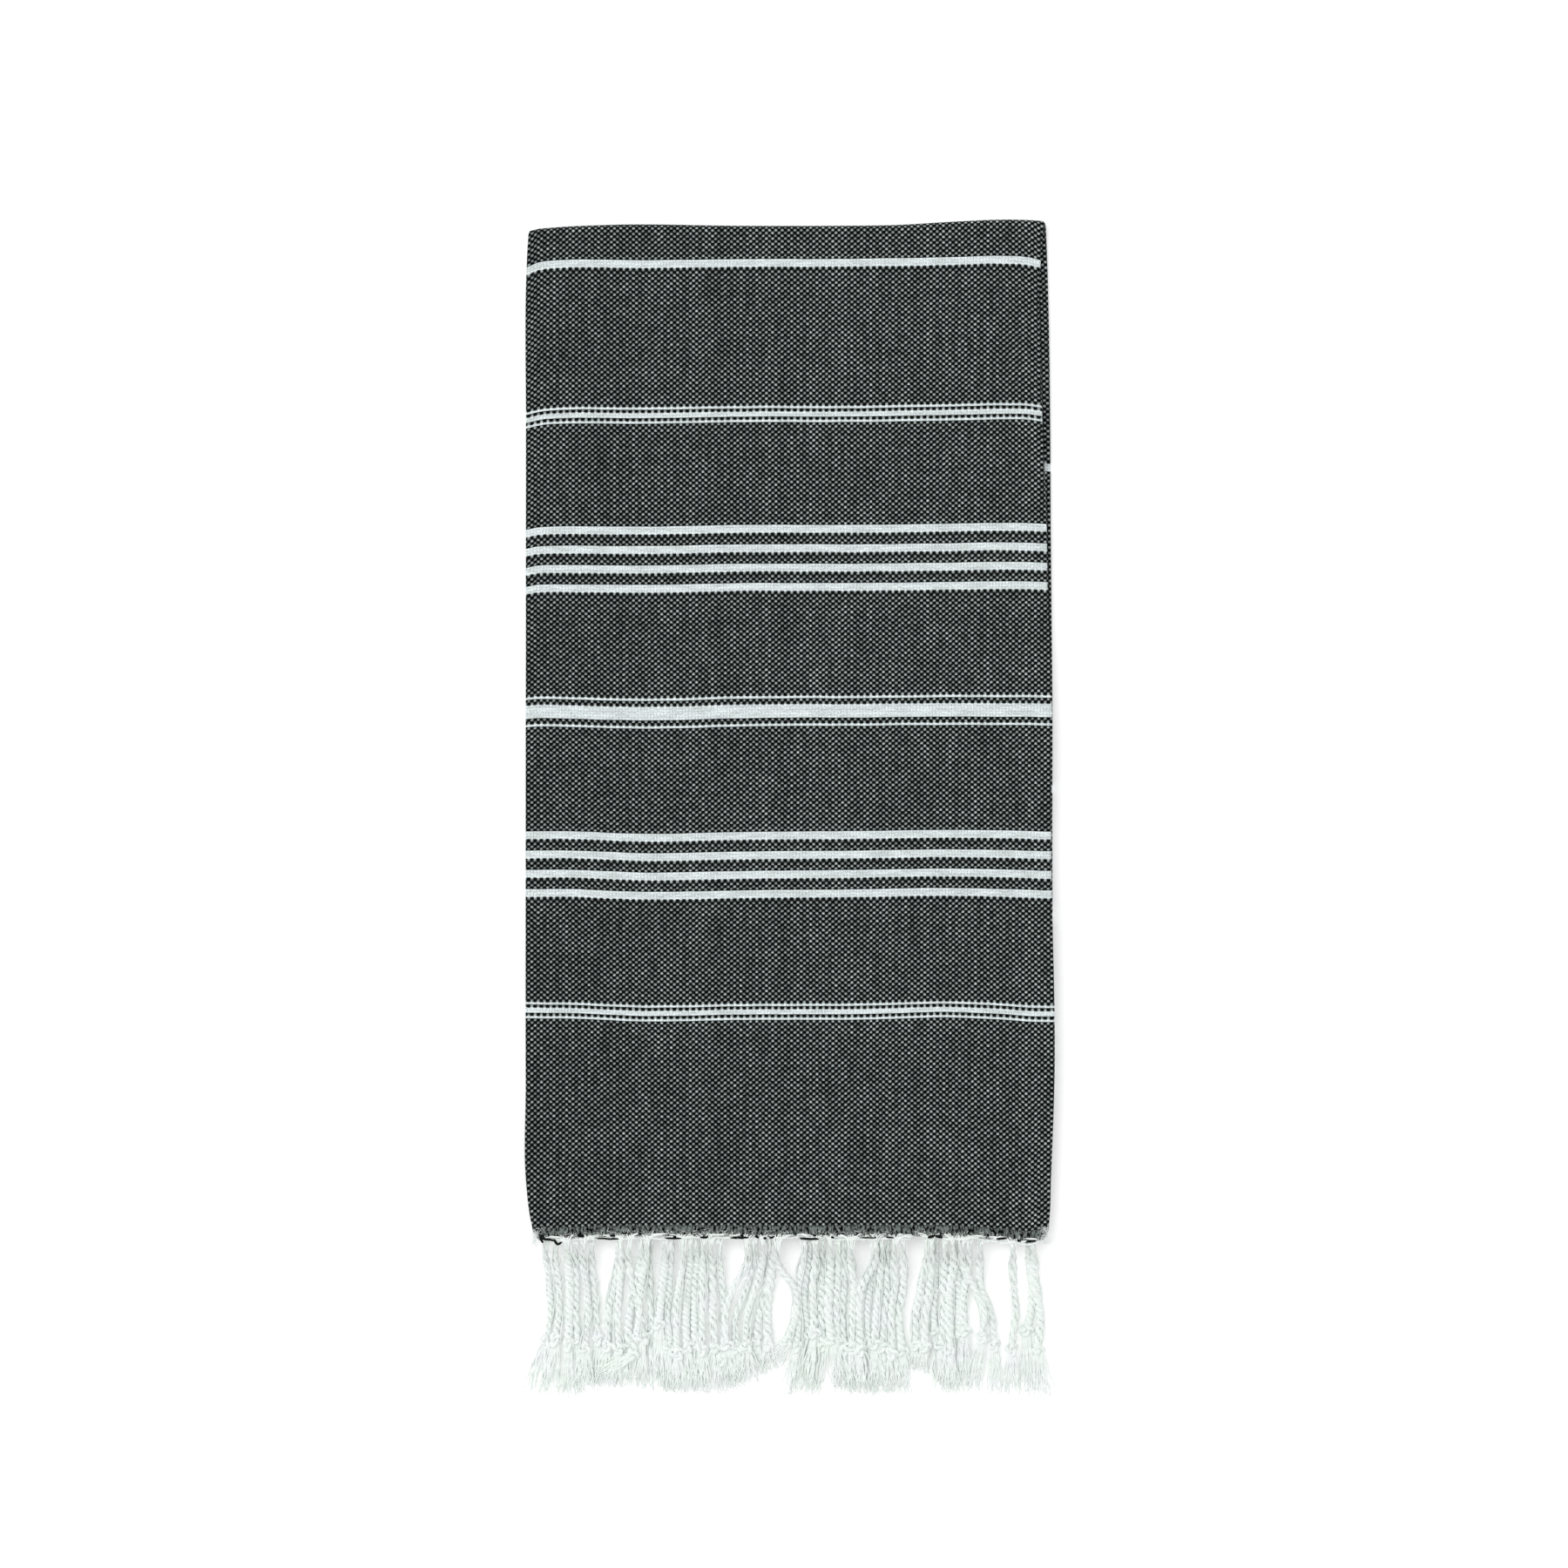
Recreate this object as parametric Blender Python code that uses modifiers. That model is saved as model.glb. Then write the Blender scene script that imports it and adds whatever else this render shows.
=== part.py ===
"""A hammam towel, flat woven with weft stripes, folded in thirds along its length and then across.

Metres. +X is to the right and +Y is towards the top fold, seen from above; +Z is up from the surface
on which the towel lies. The origin is on that surface, under the middle of the whole folded towel.

The cloth is one sheet. Its two side thirds fold behind the middle third, and the three layers together
fold over at the top, run down behind the front, and turn in at the bottom between front and back.
"""

import math

import bmesh
import bpy
import numpy as np

MM = 0.001

# One layer of the cloth, and the air that folded layers keep between them.
THICKNESS = 1.0 * MM
LAYER_GAP = 0.4 * MM
PITCH = THICKNESS + LAYER_GAP

# The folded towel: the length of its front from hem to top fold, and of the fringe below the hem.
FRONT_LENGTH = 642.0 * MM
FRINGE_LENGTH = 102.0 * MM
TUCKED_LENGTH = 321.0 * MM
TOP_Y = (FRONT_LENGTH + FRINGE_LENGTH) / 2
HEM_Y = TOP_Y - FRONT_LENGTH

# The side thirds stop short of the opposite fold by this much.
LEFT_THIRD_SHORT = 5.0 * MM
RIGHT_THIRD_SHORT = 8.0 * MM
# The turned-in end is narrower than the front on each side, and the bottom fold lies behind the hem.
TUCK_INSET = 3.0 * MM
BOTTOM_FOLD_BEHIND_HEM = 4.0 * MM

# Heights of the front layer's middle above the back layer's, and the radii of the two cross folds.
GROUND_Z = THICKNESS / 2
TOP_FOLD_RADIUS = 4.2 * MM
BOTTOM_FOLD_RADIUS = 2.5 * PITCH

# Width of the folded towel. A row for each height above the hem, in millimetres from the centre line.
# The back shows a little past the front on the right, most of all near the top.
WIDTH_COLUMNS = ("above_hem", "front_left", "front_right", "back_left", "back_right")
WIDTH_ROWS = (
    (0.0, -158.5, 160.0, -156.0, 157.5),
    (11.0, -163.4, 163.8, -160.5, 161.5),
    (38.0, -166.8, 164.9, -164.0, 164.0),
    (99.0, -167.0, 167.0, -165.0, 166.0),
    (253.0, -167.0, 164.9, -165.2, 166.2),
    (332.0, -167.0, 165.4, -165.0, 166.3),
    (407.0, -167.0, 162.7, -165.0, 165.6),
    (448.0, -167.0, 162.2, -165.2, 165.2),
    (520.0, -167.0, 159.4, -165.4, 164.8),
    (614.0, -166.8, 158.3, -165.4, 163.2),
    (642.0, -165.6, 160.6, -165.0, 162.2),
)

# Neither the top fold nor the hem is straight. A row for each place across, in millimetres.
ENDS_COLUMNS = ("across", "below_top", "below_hem")
ENDS_ROWS = (
    (-167.0, 8.0, 3.2),
    (-162.0, 6.4, 2.8),
    (-149.0, 5.0, 1.6),
    (-114.0, 3.3, 0.0),
    (-31.0, 3.9, 0.0),
    (23.0, 3.9, 0.0),
    (69.0, 3.3, 0.0),
    (100.0, 1.5, 0.0),
    (140.0, 0.0, 2.5),
    (152.0, 0.6, 3.6),
    (162.0, 2.6, 1.2),
)

# The front lies over the turned-in end, then over its fringe, then on the back alone.
HEIGHT_COLUMNS = ("above_hem", "height")
HEIGHT_ROWS = (
    (0.0, 11.2),
    (60.0, 11.5),
    (180.0, 11.9),
    (300.0, 11.4),
    (338.0, 11.2),
    (362.0, 9.9),
    (436.0, 9.6),
    (478.0, 8.5),
    (560.0, 8.9),
    (637.8, 8.4),
)

# Grid lines of the sheet, across the cloth and along it.
SIDE_FOLD_STEPS = 6
BACK_LINES_ALONG = 10
TUCK_LINES_ALONG = 7
CROSS_FOLD_STEPS = 8

# The fringe's backing strip, folded as the cloth's end is, lies just off the cloth's edge.
STRIP_GAP = 0.5 * MM
STRIP_WIDTH = 3.0 * MM
SIDE_FOLD_STRIP_STEPS = 4

# The near fringe falls in clumps. A row for each clump, in millimetres from the centre line: where its
# locks leave the hem, where they lie half-way, at the knots and at the tips, and how far it reaches.
CLUMP_COLUMNS = (
    "locks", "hem", "hem_span", "half_way", "half_way_span",
    "knots", "knots_span", "tips", "tips_span", "reach",
)
CLUMP_ROWS = (
    (5, -144.0, 21.0, -138.0, 31.0, -138.6, 34.0, -145.8, 34.0, 99.0),
    (5, -100.7, 20.0, -100.1, 21.0, -105.0, 30.0, -116.6, 29.0, 95.0),
    (5, -68.8, 22.0, -68.8, 27.0, -74.3, 33.0, -83.0, 35.0, 96.0),
    (3, -52.8, 9.0, -51.7, 14.0, -50.6, 18.0, -49.5, 20.0, 97.0),
    (5, -18.0, 15.0, -24.8, 27.0, -27.0, 27.0, -30.0, 20.0, 91.0),
    (2, -6.0, 7.0, 0.5, 8.0, -3.0, 9.0, -4.0, 10.0, 94.0),
    (5, 21.5, 18.0, 18.7, 25.0, 18.0, 25.0, 10.0, 25.0, 97.0),
    (4, 48.0, 16.0, 44.0, 19.0, 40.0, 22.0, 38.0, 24.0, 97.0),
    (5, 68.0, 20.0, 64.0, 22.0, 62.5, 24.0, 63.3, 24.0, 97.0),
    (3, 90.8, 11.0, 89.1, 12.0, 86.4, 16.0, 84.2, 16.0, 84.0),
    (6, 112.0, 22.0, 109.0, 25.0, 109.0, 32.0, 109.0, 31.0, 95.0),
    (1, 141.4, 4.0, 141.9, 4.0, 140.8, 4.0, 138.0, 4.0, 98.0),
    (3, 151.5, 11.0, 155.6, 11.0, 156.4, 14.0, 154.0, 16.0, 102.0),
)
LEVELS_BELOW_HEM = {"hem": 3.5 * MM, "half_way": 33.0 * MM, "knots": 69.0 * MM}
LEAST_SPACING = {"hem": 3.6 * MM, "half_way": 3.7 * MM, "knots": 4.7 * MM, "tips": 4.7 * MM}
OUTER_LOCK_SHORTER = 1.5 * MM

# One lock from hem to tip: where each section lies, how much of its width and height it has, and how
# much of the way down to the surface it has come. In a tail's rows, "below" is the share of the way
# from the last of these to the tip.
LOCK_WIDTH = 5.2 * MM
LOCK_HEIGHT = 2.8 * MM
LOCK_GAP = 0.5 * MM
LOCK_COLUMNS = ("below", "width", "height", "fallen")
LOCK_ROWS = (
    (9.0, 0.85, 0.42, 0.05),
    (18.0, 0.85, 0.62, 0.34),
    (29.0, 0.88, 0.85, 0.76),
    (40.0, 0.9, 0.92, 0.98),
    (63.0, 0.85, 0.92, 1.0),
    (69.0, 1.0, 1.2, 1.0),
    (75.0, 0.8, 0.85, 1.0),
)
TAIL_ROWS = (
    (0.55, 1.0, 0.65, 1.0),
    (1.0, 0.85, 0.35, 1.0),
)
ROOT_WIDTH = 3.2 * MM

# The far fringe lies level between back and front. "on" counts from the strip, and "settled" is how
# much of the way from its own layer down to the back it has come.
FAR_LOCKS = 52
FAR_SPACING = 5.9 * MM
FAR_SWAY = 1.2 * MM
FAR_SWAY_STEP = 2.4
FAR_SWAY_WAVE = 20.0
FAR_LOCK_COLUMNS = ("on", "width", "height", "settled")
FAR_LOCK_ROWS = (
    (12.0, 3.0, 1.2, 0.5),
    (34.0, 3.2, 1.8, 1.0),
    (97.0, 3.2, 1.6, 1.0),
)
FAR_LOCK_Z = GROUND_Z + 2 * PITCH + THICKNESS / 2 + 0.35 * MM

CLOTH_COLOUR = (0.066, 0.073, 0.071, 1.0)
FRINGE_COLOUR = (0.74, 0.79, 0.77, 1.0)


def column(rows, columns, name):
    """One named column of a table in millimetres, as metres."""
    return np.array([row[columns.index(name)] for row in rows]) * MM


def read(rows, columns, place, name, at):
    """A table's named column at any place between its rows."""
    return np.interp(at, column(rows, columns, place), column(rows, columns, name))


def fold_line_y(across):
    """Where the top fold starts to turn: its radius and half a layer below the towel's top edge."""
    edge_y = TOP_Y - read(ENDS_ROWS, ENDS_COLUMNS, "across", "below_top", across)
    return edge_y - TOP_FOLD_RADIUS - THICKNESS / 2


def hem_y(across):
    """The hem's edge, which dips towards both corners."""
    return HEM_Y - read(ENDS_ROWS, ENDS_COLUMNS, "across", "below_hem", across)


def side_profile(left, right, fold, along):
    """A point of the thirds fold, as its place across and its depth behind the front layer.

    fold names the stretch, and along runs from 0 to 1 over it. The left third lies one layer behind
    the front and the right third two, so the left fold is half a pitch in radius and the right one a
    whole pitch.
    """
    left_radius = PITCH / 2
    right_radius = PITCH
    left_turn = left + THICKNESS / 2 + left_radius
    right_turn = right - THICKNESS / 2 - right_radius
    angle = math.pi * along
    if fold == "left_third":
        start = right - LEFT_THIRD_SHORT
        return start + (left_turn - start) * along, PITCH
    if fold == "left_fold":
        return left_turn - left_radius * math.sin(angle), left_radius * (1 + math.cos(angle))
    if fold == "front":
        return left_turn + (right_turn - left_turn) * along, 0.0
    if fold == "right_fold":
        return right_turn + right_radius * math.sin(angle), right_radius * (1 - math.cos(angle))
    end = left + RIGHT_THIRD_SHORT
    return right_turn + (end - right_turn) * along, 2 * PITCH


def edges(stretch, above_hem):
    """The left and right edges of the folded towel at a height above the hem, front, back or tucked."""
    front_left, front_right, back_left, back_right = (
        read(WIDTH_ROWS, WIDTH_COLUMNS, "above_hem", name, above_hem) for name in WIDTH_COLUMNS[1:]
    )
    if stretch == "front":
        return front_left, front_right
    if stretch == "back":
        return back_left, back_right
    return back_left + TUCK_INSET, min(front_right, back_right) - TUCK_INSET


def lines_across():
    """The sheet's grid lines across the cloth, from one selvedge to the other.

    Each third has a line at each row of the ends' table, and each fold between them has a few.
    """
    lines = []
    for fold in ("left_third", "left_fold", "front", "right_fold", "right_third"):
        if fold.endswith("fold"):
            shares = [step / SIDE_FOLD_STEPS for step in range(1, SIDE_FOLD_STEPS)]
        else:
            start, end = (side_profile(*edges("front", 0.0), fold, share)[0] for share in (0.0, 1.0))
            marks = column(ENDS_ROWS, ENDS_COLUMNS, "across")
            shares = [share for share in (marks - start) / (end - start) if 0.01 < share < 0.99]
            shares = [0.0, *sorted(shares), 1.0]
        lines += [(fold, share) for share in shares]
    return lines


def eased(share):
    return share * share * (3 - 2 * share)


def between(first, second, share):
    return tuple(a + (b - a) * share for a, b in zip(first, second))


def bent(stretch, along, fold, side):
    """A point of the folded cloth: the thirds fold, carried over the top and in at the bottom."""
    if stretch == "front":
        above_hem = (FRONT_LENGTH - TOP_FOLD_RADIUS) * along
        left, right = edges("front", above_hem)
        across, depth = side_profile(left, right, fold, side)
        low = hem_y(across)
        high = fold_line_y(across)
        height = read(HEIGHT_ROWS, HEIGHT_COLUMNS, "above_hem", "height", above_hem)
        return across, low + (high - low) * along, GROUND_Z + height - depth
    if stretch == "top_fold":
        left, right = between(edges("front", FRONT_LENGTH), edges("back", FRONT_LENGTH), eased(along))
        across, depth = side_profile(left, right, fold, side)
        radius = TOP_FOLD_RADIUS - depth
        angle = math.pi * along
        y = fold_line_y(across) + radius * math.sin(angle)
        return across, y, GROUND_Z + TOP_FOLD_RADIUS + radius * math.cos(angle)
    bottom = HEM_Y + BOTTOM_FOLD_BEHIND_HEM + BOTTOM_FOLD_RADIUS
    if stretch == "back":
        left, right = edges("back", FRONT_LENGTH * (1 - along))
        across, depth = side_profile(left, right, fold, side)
        high = fold_line_y(across)
        return across, high + (bottom - high) * along, GROUND_Z + depth
    if stretch == "bottom_fold":
        left, right = between(edges("back", 0.0), edges("tuck", 0.0), eased(along))
        across, depth = side_profile(left, right, fold, side)
        radius = BOTTOM_FOLD_RADIUS - depth
        angle = math.pi * along
        y = bottom - radius * math.sin(angle)
        return across, y, GROUND_Z + BOTTOM_FOLD_RADIUS - radius * math.cos(angle)
    left, right = edges("tuck", TUCKED_LENGTH * along)
    across, depth = side_profile(left, right, fold, side)
    return across, bottom + TUCKED_LENGTH * along, GROUND_Z + 2 * BOTTOM_FOLD_RADIUS - depth


def lines_along():
    """The sheet's grid lines along the cloth, from the near end to the far one.

    The front has a line at each row of the width and height tables, and one where the top fold starts.
    """
    flat = FRONT_LENGTH - TOP_FOLD_RADIUS
    shares = sorted({row[0] * MM / flat for row in WIDTH_ROWS + HEIGHT_ROWS})
    stretches = (
        ("top_fold", CROSS_FOLD_STEPS),
        ("back", BACK_LINES_ALONG),
        ("bottom_fold", CROSS_FOLD_STEPS),
        ("tuck", TUCK_LINES_ALONG),
    )
    lines = [("front", share) for share in shares if share < 0.99] + [("front", 1.0)]
    for stretch, steps in stretches:
        lines += [(stretch, step / steps) for step in range(1, steps + 1)]
    return lines


def principled(name, colour, roughness):
    material = bpy.data.materials.new(name)
    material.use_nodes = True
    shader = material.node_tree.nodes["Principled BSDF"]
    shader.inputs["Base Color"].default_value = colour
    shader.inputs["Roughness"].default_value = roughness
    shader.inputs["Metallic"].default_value = 0.0
    return material


def object_from(cage, name, material, collection):
    """A named object from a bmesh, with its normals facing out."""
    bmesh.ops.recalc_face_normals(cage, faces=cage.faces)
    mesh = bpy.data.meshes.new(name)
    cage.to_mesh(mesh)
    cage.free()
    mesh.materials.append(material)
    mesh.shade_smooth()
    piece = bpy.data.objects.new(name, mesh)
    collection.objects.link(piece)
    return piece


def make_cloth(collection):
    """The cloth: a flat grid whose points are carried into the folds, given its thickness."""
    across = lines_across()
    along = lines_along()
    cage = bmesh.new()
    bmesh.ops.create_grid(
        cage, x_segments=len(across) - 1, y_segments=len(along) - 1, size=0.5
    )
    for point in cage.verts:
        column_number = round((point.co.x + 0.5) * (len(across) - 1))
        row_number = round((point.co.y + 0.5) * (len(along) - 1))
        point.co = bent(*along[row_number], *across[column_number])
    cloth = object_from(
        cage, "towel_cloth", principled("woven_cotton", CLOTH_COLOUR, 0.9), collection
    )
    shell = cloth.modifiers.new("thickness", "SOLIDIFY")
    shell.thickness = THICKNESS
    shell.offset = 0.0
    return cloth


def kept_apart(places, least):
    """The same places, with neighbours moved evenly apart until none are nearer than this."""
    places = np.array(places)
    for _ in range(400):
        lack = np.clip(least - np.diff(places), 0.0, None) / 2
        places[:-1] -= lack
        places[1:] += lack
    return places


def clumped_locks():
    """Each near lock's place across at the hem, half-way, at its knot and at its tip, and its reach."""
    places = {}
    for level, least in LEAST_SPACING.items():
        wanted = []
        for row in CLUMP_ROWS:
            clump = dict(zip(CLUMP_COLUMNS, row))
            steps = (np.arange(clump["locks"]) + 0.5) / clump["locks"] - 0.5
            wanted.extend((clump[level] + clump[level + "_span"] * steps) * MM)
        places[level] = kept_apart(wanted, least)
    reach = []
    for row in CLUMP_ROWS:
        clump = dict(zip(CLUMP_COLUMNS, row))
        middle = (clump["locks"] - 1) / 2
        shorter = np.abs(np.arange(clump["locks"]) - middle) * OUTER_LOCK_SHORTER
        reach.extend(clump["reach"] * MM - shorter)
    return places, np.array(reach)


def room_beside(places, number):
    """How wide a lock can be at a level without touching the locks beside it."""
    spaces = np.diff(places)
    return min([LOCK_WIDTH + LOCK_GAP, *spaces[max(number - 1, 0):number + 1]]) - LOCK_GAP


def near_lock(number, places, reach, root_z):
    """The sections of one near lock below its root: centre, width and height of each."""
    across = [places[level][number] for level in places]
    room = [room_beside(places[level], number) for level in places]
    below = [*LEVELS_BELOW_HEM.values(), reach[number]]
    tail_start = LOCK_ROWS[-1][0] * MM
    tail_length = reach[number] - tail_start
    sections = []
    for row in LOCK_ROWS + TAIL_ROWS:
        section = dict(zip(LOCK_COLUMNS, row))
        down = section["below"] * MM
        if row in TAIL_ROWS:
            down = tail_start + section["below"] * tail_length
        height = section["height"] * LOCK_HEIGHT
        z = root_z + (height / 2 - root_z) * section["fallen"]
        width = section["width"] * np.interp(down, below, room)
        sections.append(((np.interp(down, below, across), HEM_Y - down, z), width, height))
    return sections


def far_lock(number, place, root_y, root_z):
    """The sections of one far lock, which lies level between back and front."""
    sections = []
    for row in FAR_LOCK_ROWS:
        section = {name: value * MM for name, value in zip(FAR_LOCK_COLUMNS[:-1], row)}
        settled = row[-1]
        sway = FAR_SWAY * math.sin(FAR_SWAY_STEP * number + FAR_SWAY_WAVE * section["on"])
        rest_z = FAR_LOCK_Z + section["height"] / 2
        centre = (place + sway, root_y + section["on"], root_z + (rest_z - root_z) * settled)
        sections.append((centre, section["width"], section["height"]))
    return sections


def strip_stations(left, right, roots):
    """Places along the folded strip: the fold, the share of it, and any lock that starts there."""
    flats = {}
    for fold in ("left_third", "front", "right_third"):
        start = side_profile(left, right, fold, 0.0)[0]
        end = side_profile(left, right, fold, 1.0)[0]
        marks = [(0.0, None), (1.0, None)]
        for number, (layer, place) in enumerate(roots):
            if layer == fold:
                half = ROOT_WIDTH / 2
                shares = sorted((x - start) / (end - start) for x in (place - half, place + half))
                marks += [(shares[0], number), (shares[1], None)]
        flats[fold] = [(fold, share, number) for share, number in sorted(marks, key=lambda m: m[0])]
    turns = {
        fold: [(fold, step / SIDE_FOLD_STRIP_STEPS, None) for step in range(1, SIDE_FOLD_STRIP_STEPS)]
        for fold in ("left_fold", "right_fold")
    }
    return (
        flats["left_third"] + turns["left_fold"] + flats["front"]
        + turns["right_fold"] + flats["right_third"]
    )


def profile_side(left, right, fold, share):
    """The unit direction across the strip's thickness, towards the cloth's face, at a place on it."""
    step = 1e-3
    x0, h0 = side_profile(left, right, fold, max(share - step, 0.0))
    x1, h1 = side_profile(left, right, fold, min(share + step, 1.0))
    length = math.hypot(x1 - x0, h1 - h0)
    return (h1 - h0) / length, (x1 - x0) / length


def make_fringe(name, left, right, top_z, edge_y, towards, roots, lock_sections, collection):
    """A strip folded as the cloth's end is, with a lock drawn out of it at each root."""
    cage = bmesh.new()
    stations = strip_stations(left, right, roots)
    rings = []
    for fold, share, _ in stations:
        across, depth = side_profile(left, right, fold, share)
        side_x, side_z = profile_side(left, right, fold, share)
        near_edge = edge_y(across) + towards * STRIP_GAP
        ring = []
        for reach, side in ((0.0, 1), (0.0, -1), (STRIP_WIDTH, -1), (STRIP_WIDTH, 1)):
            offset = side * THICKNESS / 2
            ring.append(
                cage.verts.new((
                    across + side_x * offset,
                    near_edge + towards * reach,
                    top_z - depth + side_z * offset,
                ))
            )
        rings.append(ring)
    cage.faces.new(rings[0])
    cage.faces.new(reversed(rings[-1]))
    for here, after, (fold, _, number) in zip(rings, rings[1:], stations):
        for corner in range(4):
            following = (corner + 1) % 4
            if corner == 2 and number is not None:
                continue
            cage.faces.new((here[corner], after[corner], after[following], here[following]))
        if number is None:
            continue
        layer, _ = roots[number]
        turned = 1 if layer == "front" else -1
        ring = [here[3], after[3], after[2], here[2]]
        for (x, y, z), width, height in lock_sections(number, (here[3].co.z + here[2].co.z) / 2):
            corners = ((-1, 1), (1, 1), (1, -1), (-1, -1))
            new_ring = [
                cage.verts.new((x + turned * a * width / 2, y, z + turned * b * height / 2))
                for a, b in corners
            ]
            for corner in range(4):
                following = (corner + 1) % 4
                cage.faces.new((ring[corner], ring[following], new_ring[following], new_ring[corner]))
            ring = new_ring
        cage.faces.new(ring)
    return object_from(cage, name, bpy.data.materials["fringe_cotton"], collection)


def make_near_fringe(collection):
    places, reach = clumped_locks()
    layers = ("front", "left_third", "right_third")
    roots = [(layers[number % 3], place) for number, place in enumerate(places["hem"])]
    left, right = edges("front", 0.0)
    top_z = GROUND_Z + HEIGHT_ROWS[0][1] * MM
    return make_fringe(
        "fringe_near", left, right, top_z, hem_y, -1, roots,
        lambda number, root_z: near_lock(number, places, reach, root_z), collection,
    )


def make_far_fringe(collection):
    left, right = edges("tuck", TUCKED_LENGTH)
    first = (left + right) / 2 - FAR_SPACING * (FAR_LOCKS - 1) / 2
    layers = ("front", "left_third", "right_third")
    roots = [(layers[number % 3], first + FAR_SPACING * number) for number in range(FAR_LOCKS)]
    end_y = HEM_Y + BOTTOM_FOLD_BEHIND_HEM + BOTTOM_FOLD_RADIUS + TUCKED_LENGTH
    top_z = GROUND_Z + 2 * BOTTOM_FOLD_RADIUS
    root_y = end_y + STRIP_GAP + STRIP_WIDTH
    return make_fringe(
        "fringe_far", left, right, top_z, lambda across: end_y, 1, roots,
        lambda number, root_z: far_lock(number, roots[number][1], root_y, root_z), collection,
    )


def main():
    for leftover in list(bpy.data.objects):
        bpy.data.objects.remove(leftover)
    collection = bpy.data.collections.new("hammam_towel")
    bpy.context.scene.collection.children.link(collection)
    principled("fringe_cotton", FRINGE_COLOUR, 0.85)
    make_cloth(collection)
    make_near_fringe(collection)
    make_far_fringe(collection)


main()
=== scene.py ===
"""Looks for the folded hammam towel. Metres; the cloth lies on z = 0, with the top fold towards +Y."""

import math

import bpy
import numpy as np
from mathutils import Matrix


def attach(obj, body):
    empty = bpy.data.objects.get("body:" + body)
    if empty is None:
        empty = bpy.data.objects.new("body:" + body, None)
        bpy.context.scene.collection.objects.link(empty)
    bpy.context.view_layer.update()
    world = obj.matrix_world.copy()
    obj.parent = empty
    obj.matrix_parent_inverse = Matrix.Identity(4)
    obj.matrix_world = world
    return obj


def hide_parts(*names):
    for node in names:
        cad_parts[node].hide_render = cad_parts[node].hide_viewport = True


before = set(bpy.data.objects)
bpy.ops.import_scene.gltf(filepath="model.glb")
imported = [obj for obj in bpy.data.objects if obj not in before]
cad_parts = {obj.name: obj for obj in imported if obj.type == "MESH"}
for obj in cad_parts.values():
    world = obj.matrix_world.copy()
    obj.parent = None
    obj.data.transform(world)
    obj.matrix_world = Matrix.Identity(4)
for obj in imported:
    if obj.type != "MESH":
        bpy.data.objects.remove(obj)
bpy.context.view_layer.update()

# The cloth: one flat-woven sheet, off-white cotton warp crossed by near-black cotton weft, with white
# weft stripes. Its side thirds fold behind the middle, all three layers fold over at the top, and the
# far end is turned in at the bottom, between back and front.

MM = 0.001
THICKNESS = 1.0 * MM
PITCH = 1.4 * MM
FRONT_LENGTH = 642.0 * MM
TUCKED_LENGTH = 321.0 * MM
TOP_Y = 373.0 * MM
HEM_Y = -270.0 * MM
LEFT_THIRD_SHORT = 5.0 * MM
RIGHT_THIRD_SHORT = 8.0 * MM
TUCK_INSET = 3.0 * MM
BOTTOM_FOLD_Y = HEM_Y + 4.0 * MM + 2.5 * PITCH
GROUND_Z = THICKNESS / 2
TOP_FOLD_RADIUS = 4.2 * MM
BOTTOM_FOLD_RADIUS = 2.5 * PITCH

# The towel's side edges at heights above the hem; how far the top fold and the hem lie below their
# lines at places across; and how high the front lies. All in millimetres, as in the tables below.
WIDTH_COLUMNS = ("above_hem", "front_left", "front_right", "back_left", "back_right")
WIDTH_ROWS = (
    (0.0, -158.5, 160.8, -156.0, 158.3),
    (3.5, -161.4, 162.9, -158.9, 160.6),
    (11.0, -163.4, 163.8, -160.5, 161.5),
    (38.0, -166.8, 164.9, -164.0, 164.0),
    (99.0, -167.0, 167.0, -165.0, 166.0),
    (253.0, -167.0, 164.9, -165.2, 166.2),
    (332.0, -167.0, 165.4, -165.0, 166.3),
    (407.0, -167.0, 162.7, -165.0, 165.6),
    (448.0, -167.0, 162.2, -165.2, 165.2),
    (520.0, -167.0, 159.4, -165.4, 164.8),
    (614.0, -166.8, 158.3, -165.4, 163.2),
    (642.0, -165.6, 160.6, -165.0, 162.2),
)
ENDS_COLUMNS = ("across", "below_top", "below_hem")
ENDS_ROWS = (
    (-167.0, 8.0, 3.2),
    (-162.0, 6.4, 2.8),
    (-149.0, 5.0, 1.6),
    (-114.0, 3.3, 0.0),
    (-31.0, 3.9, 0.0),
    (23.0, 3.9, 0.0),
    (69.0, 3.3, 0.0),
    (100.0, 1.5, 0.0),
    (140.0, 0.0, 2.5),
    (152.0, 0.3, 3.6),
    (162.0, 1.1, 1.2),
)
HEIGHT_COLUMNS = ("above_hem", "height")
HEIGHT_ROWS = (
    (0.0, 11.2),
    (60.0, 11.5),
    (180.0, 11.9),
    (300.0, 11.4),
    (338.0, 11.2),
    (362.0, 9.9),
    (436.0, 9.6),
    (478.0, 8.5),
    (560.0, 8.9),
    (637.8, 8.4),
)

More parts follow.
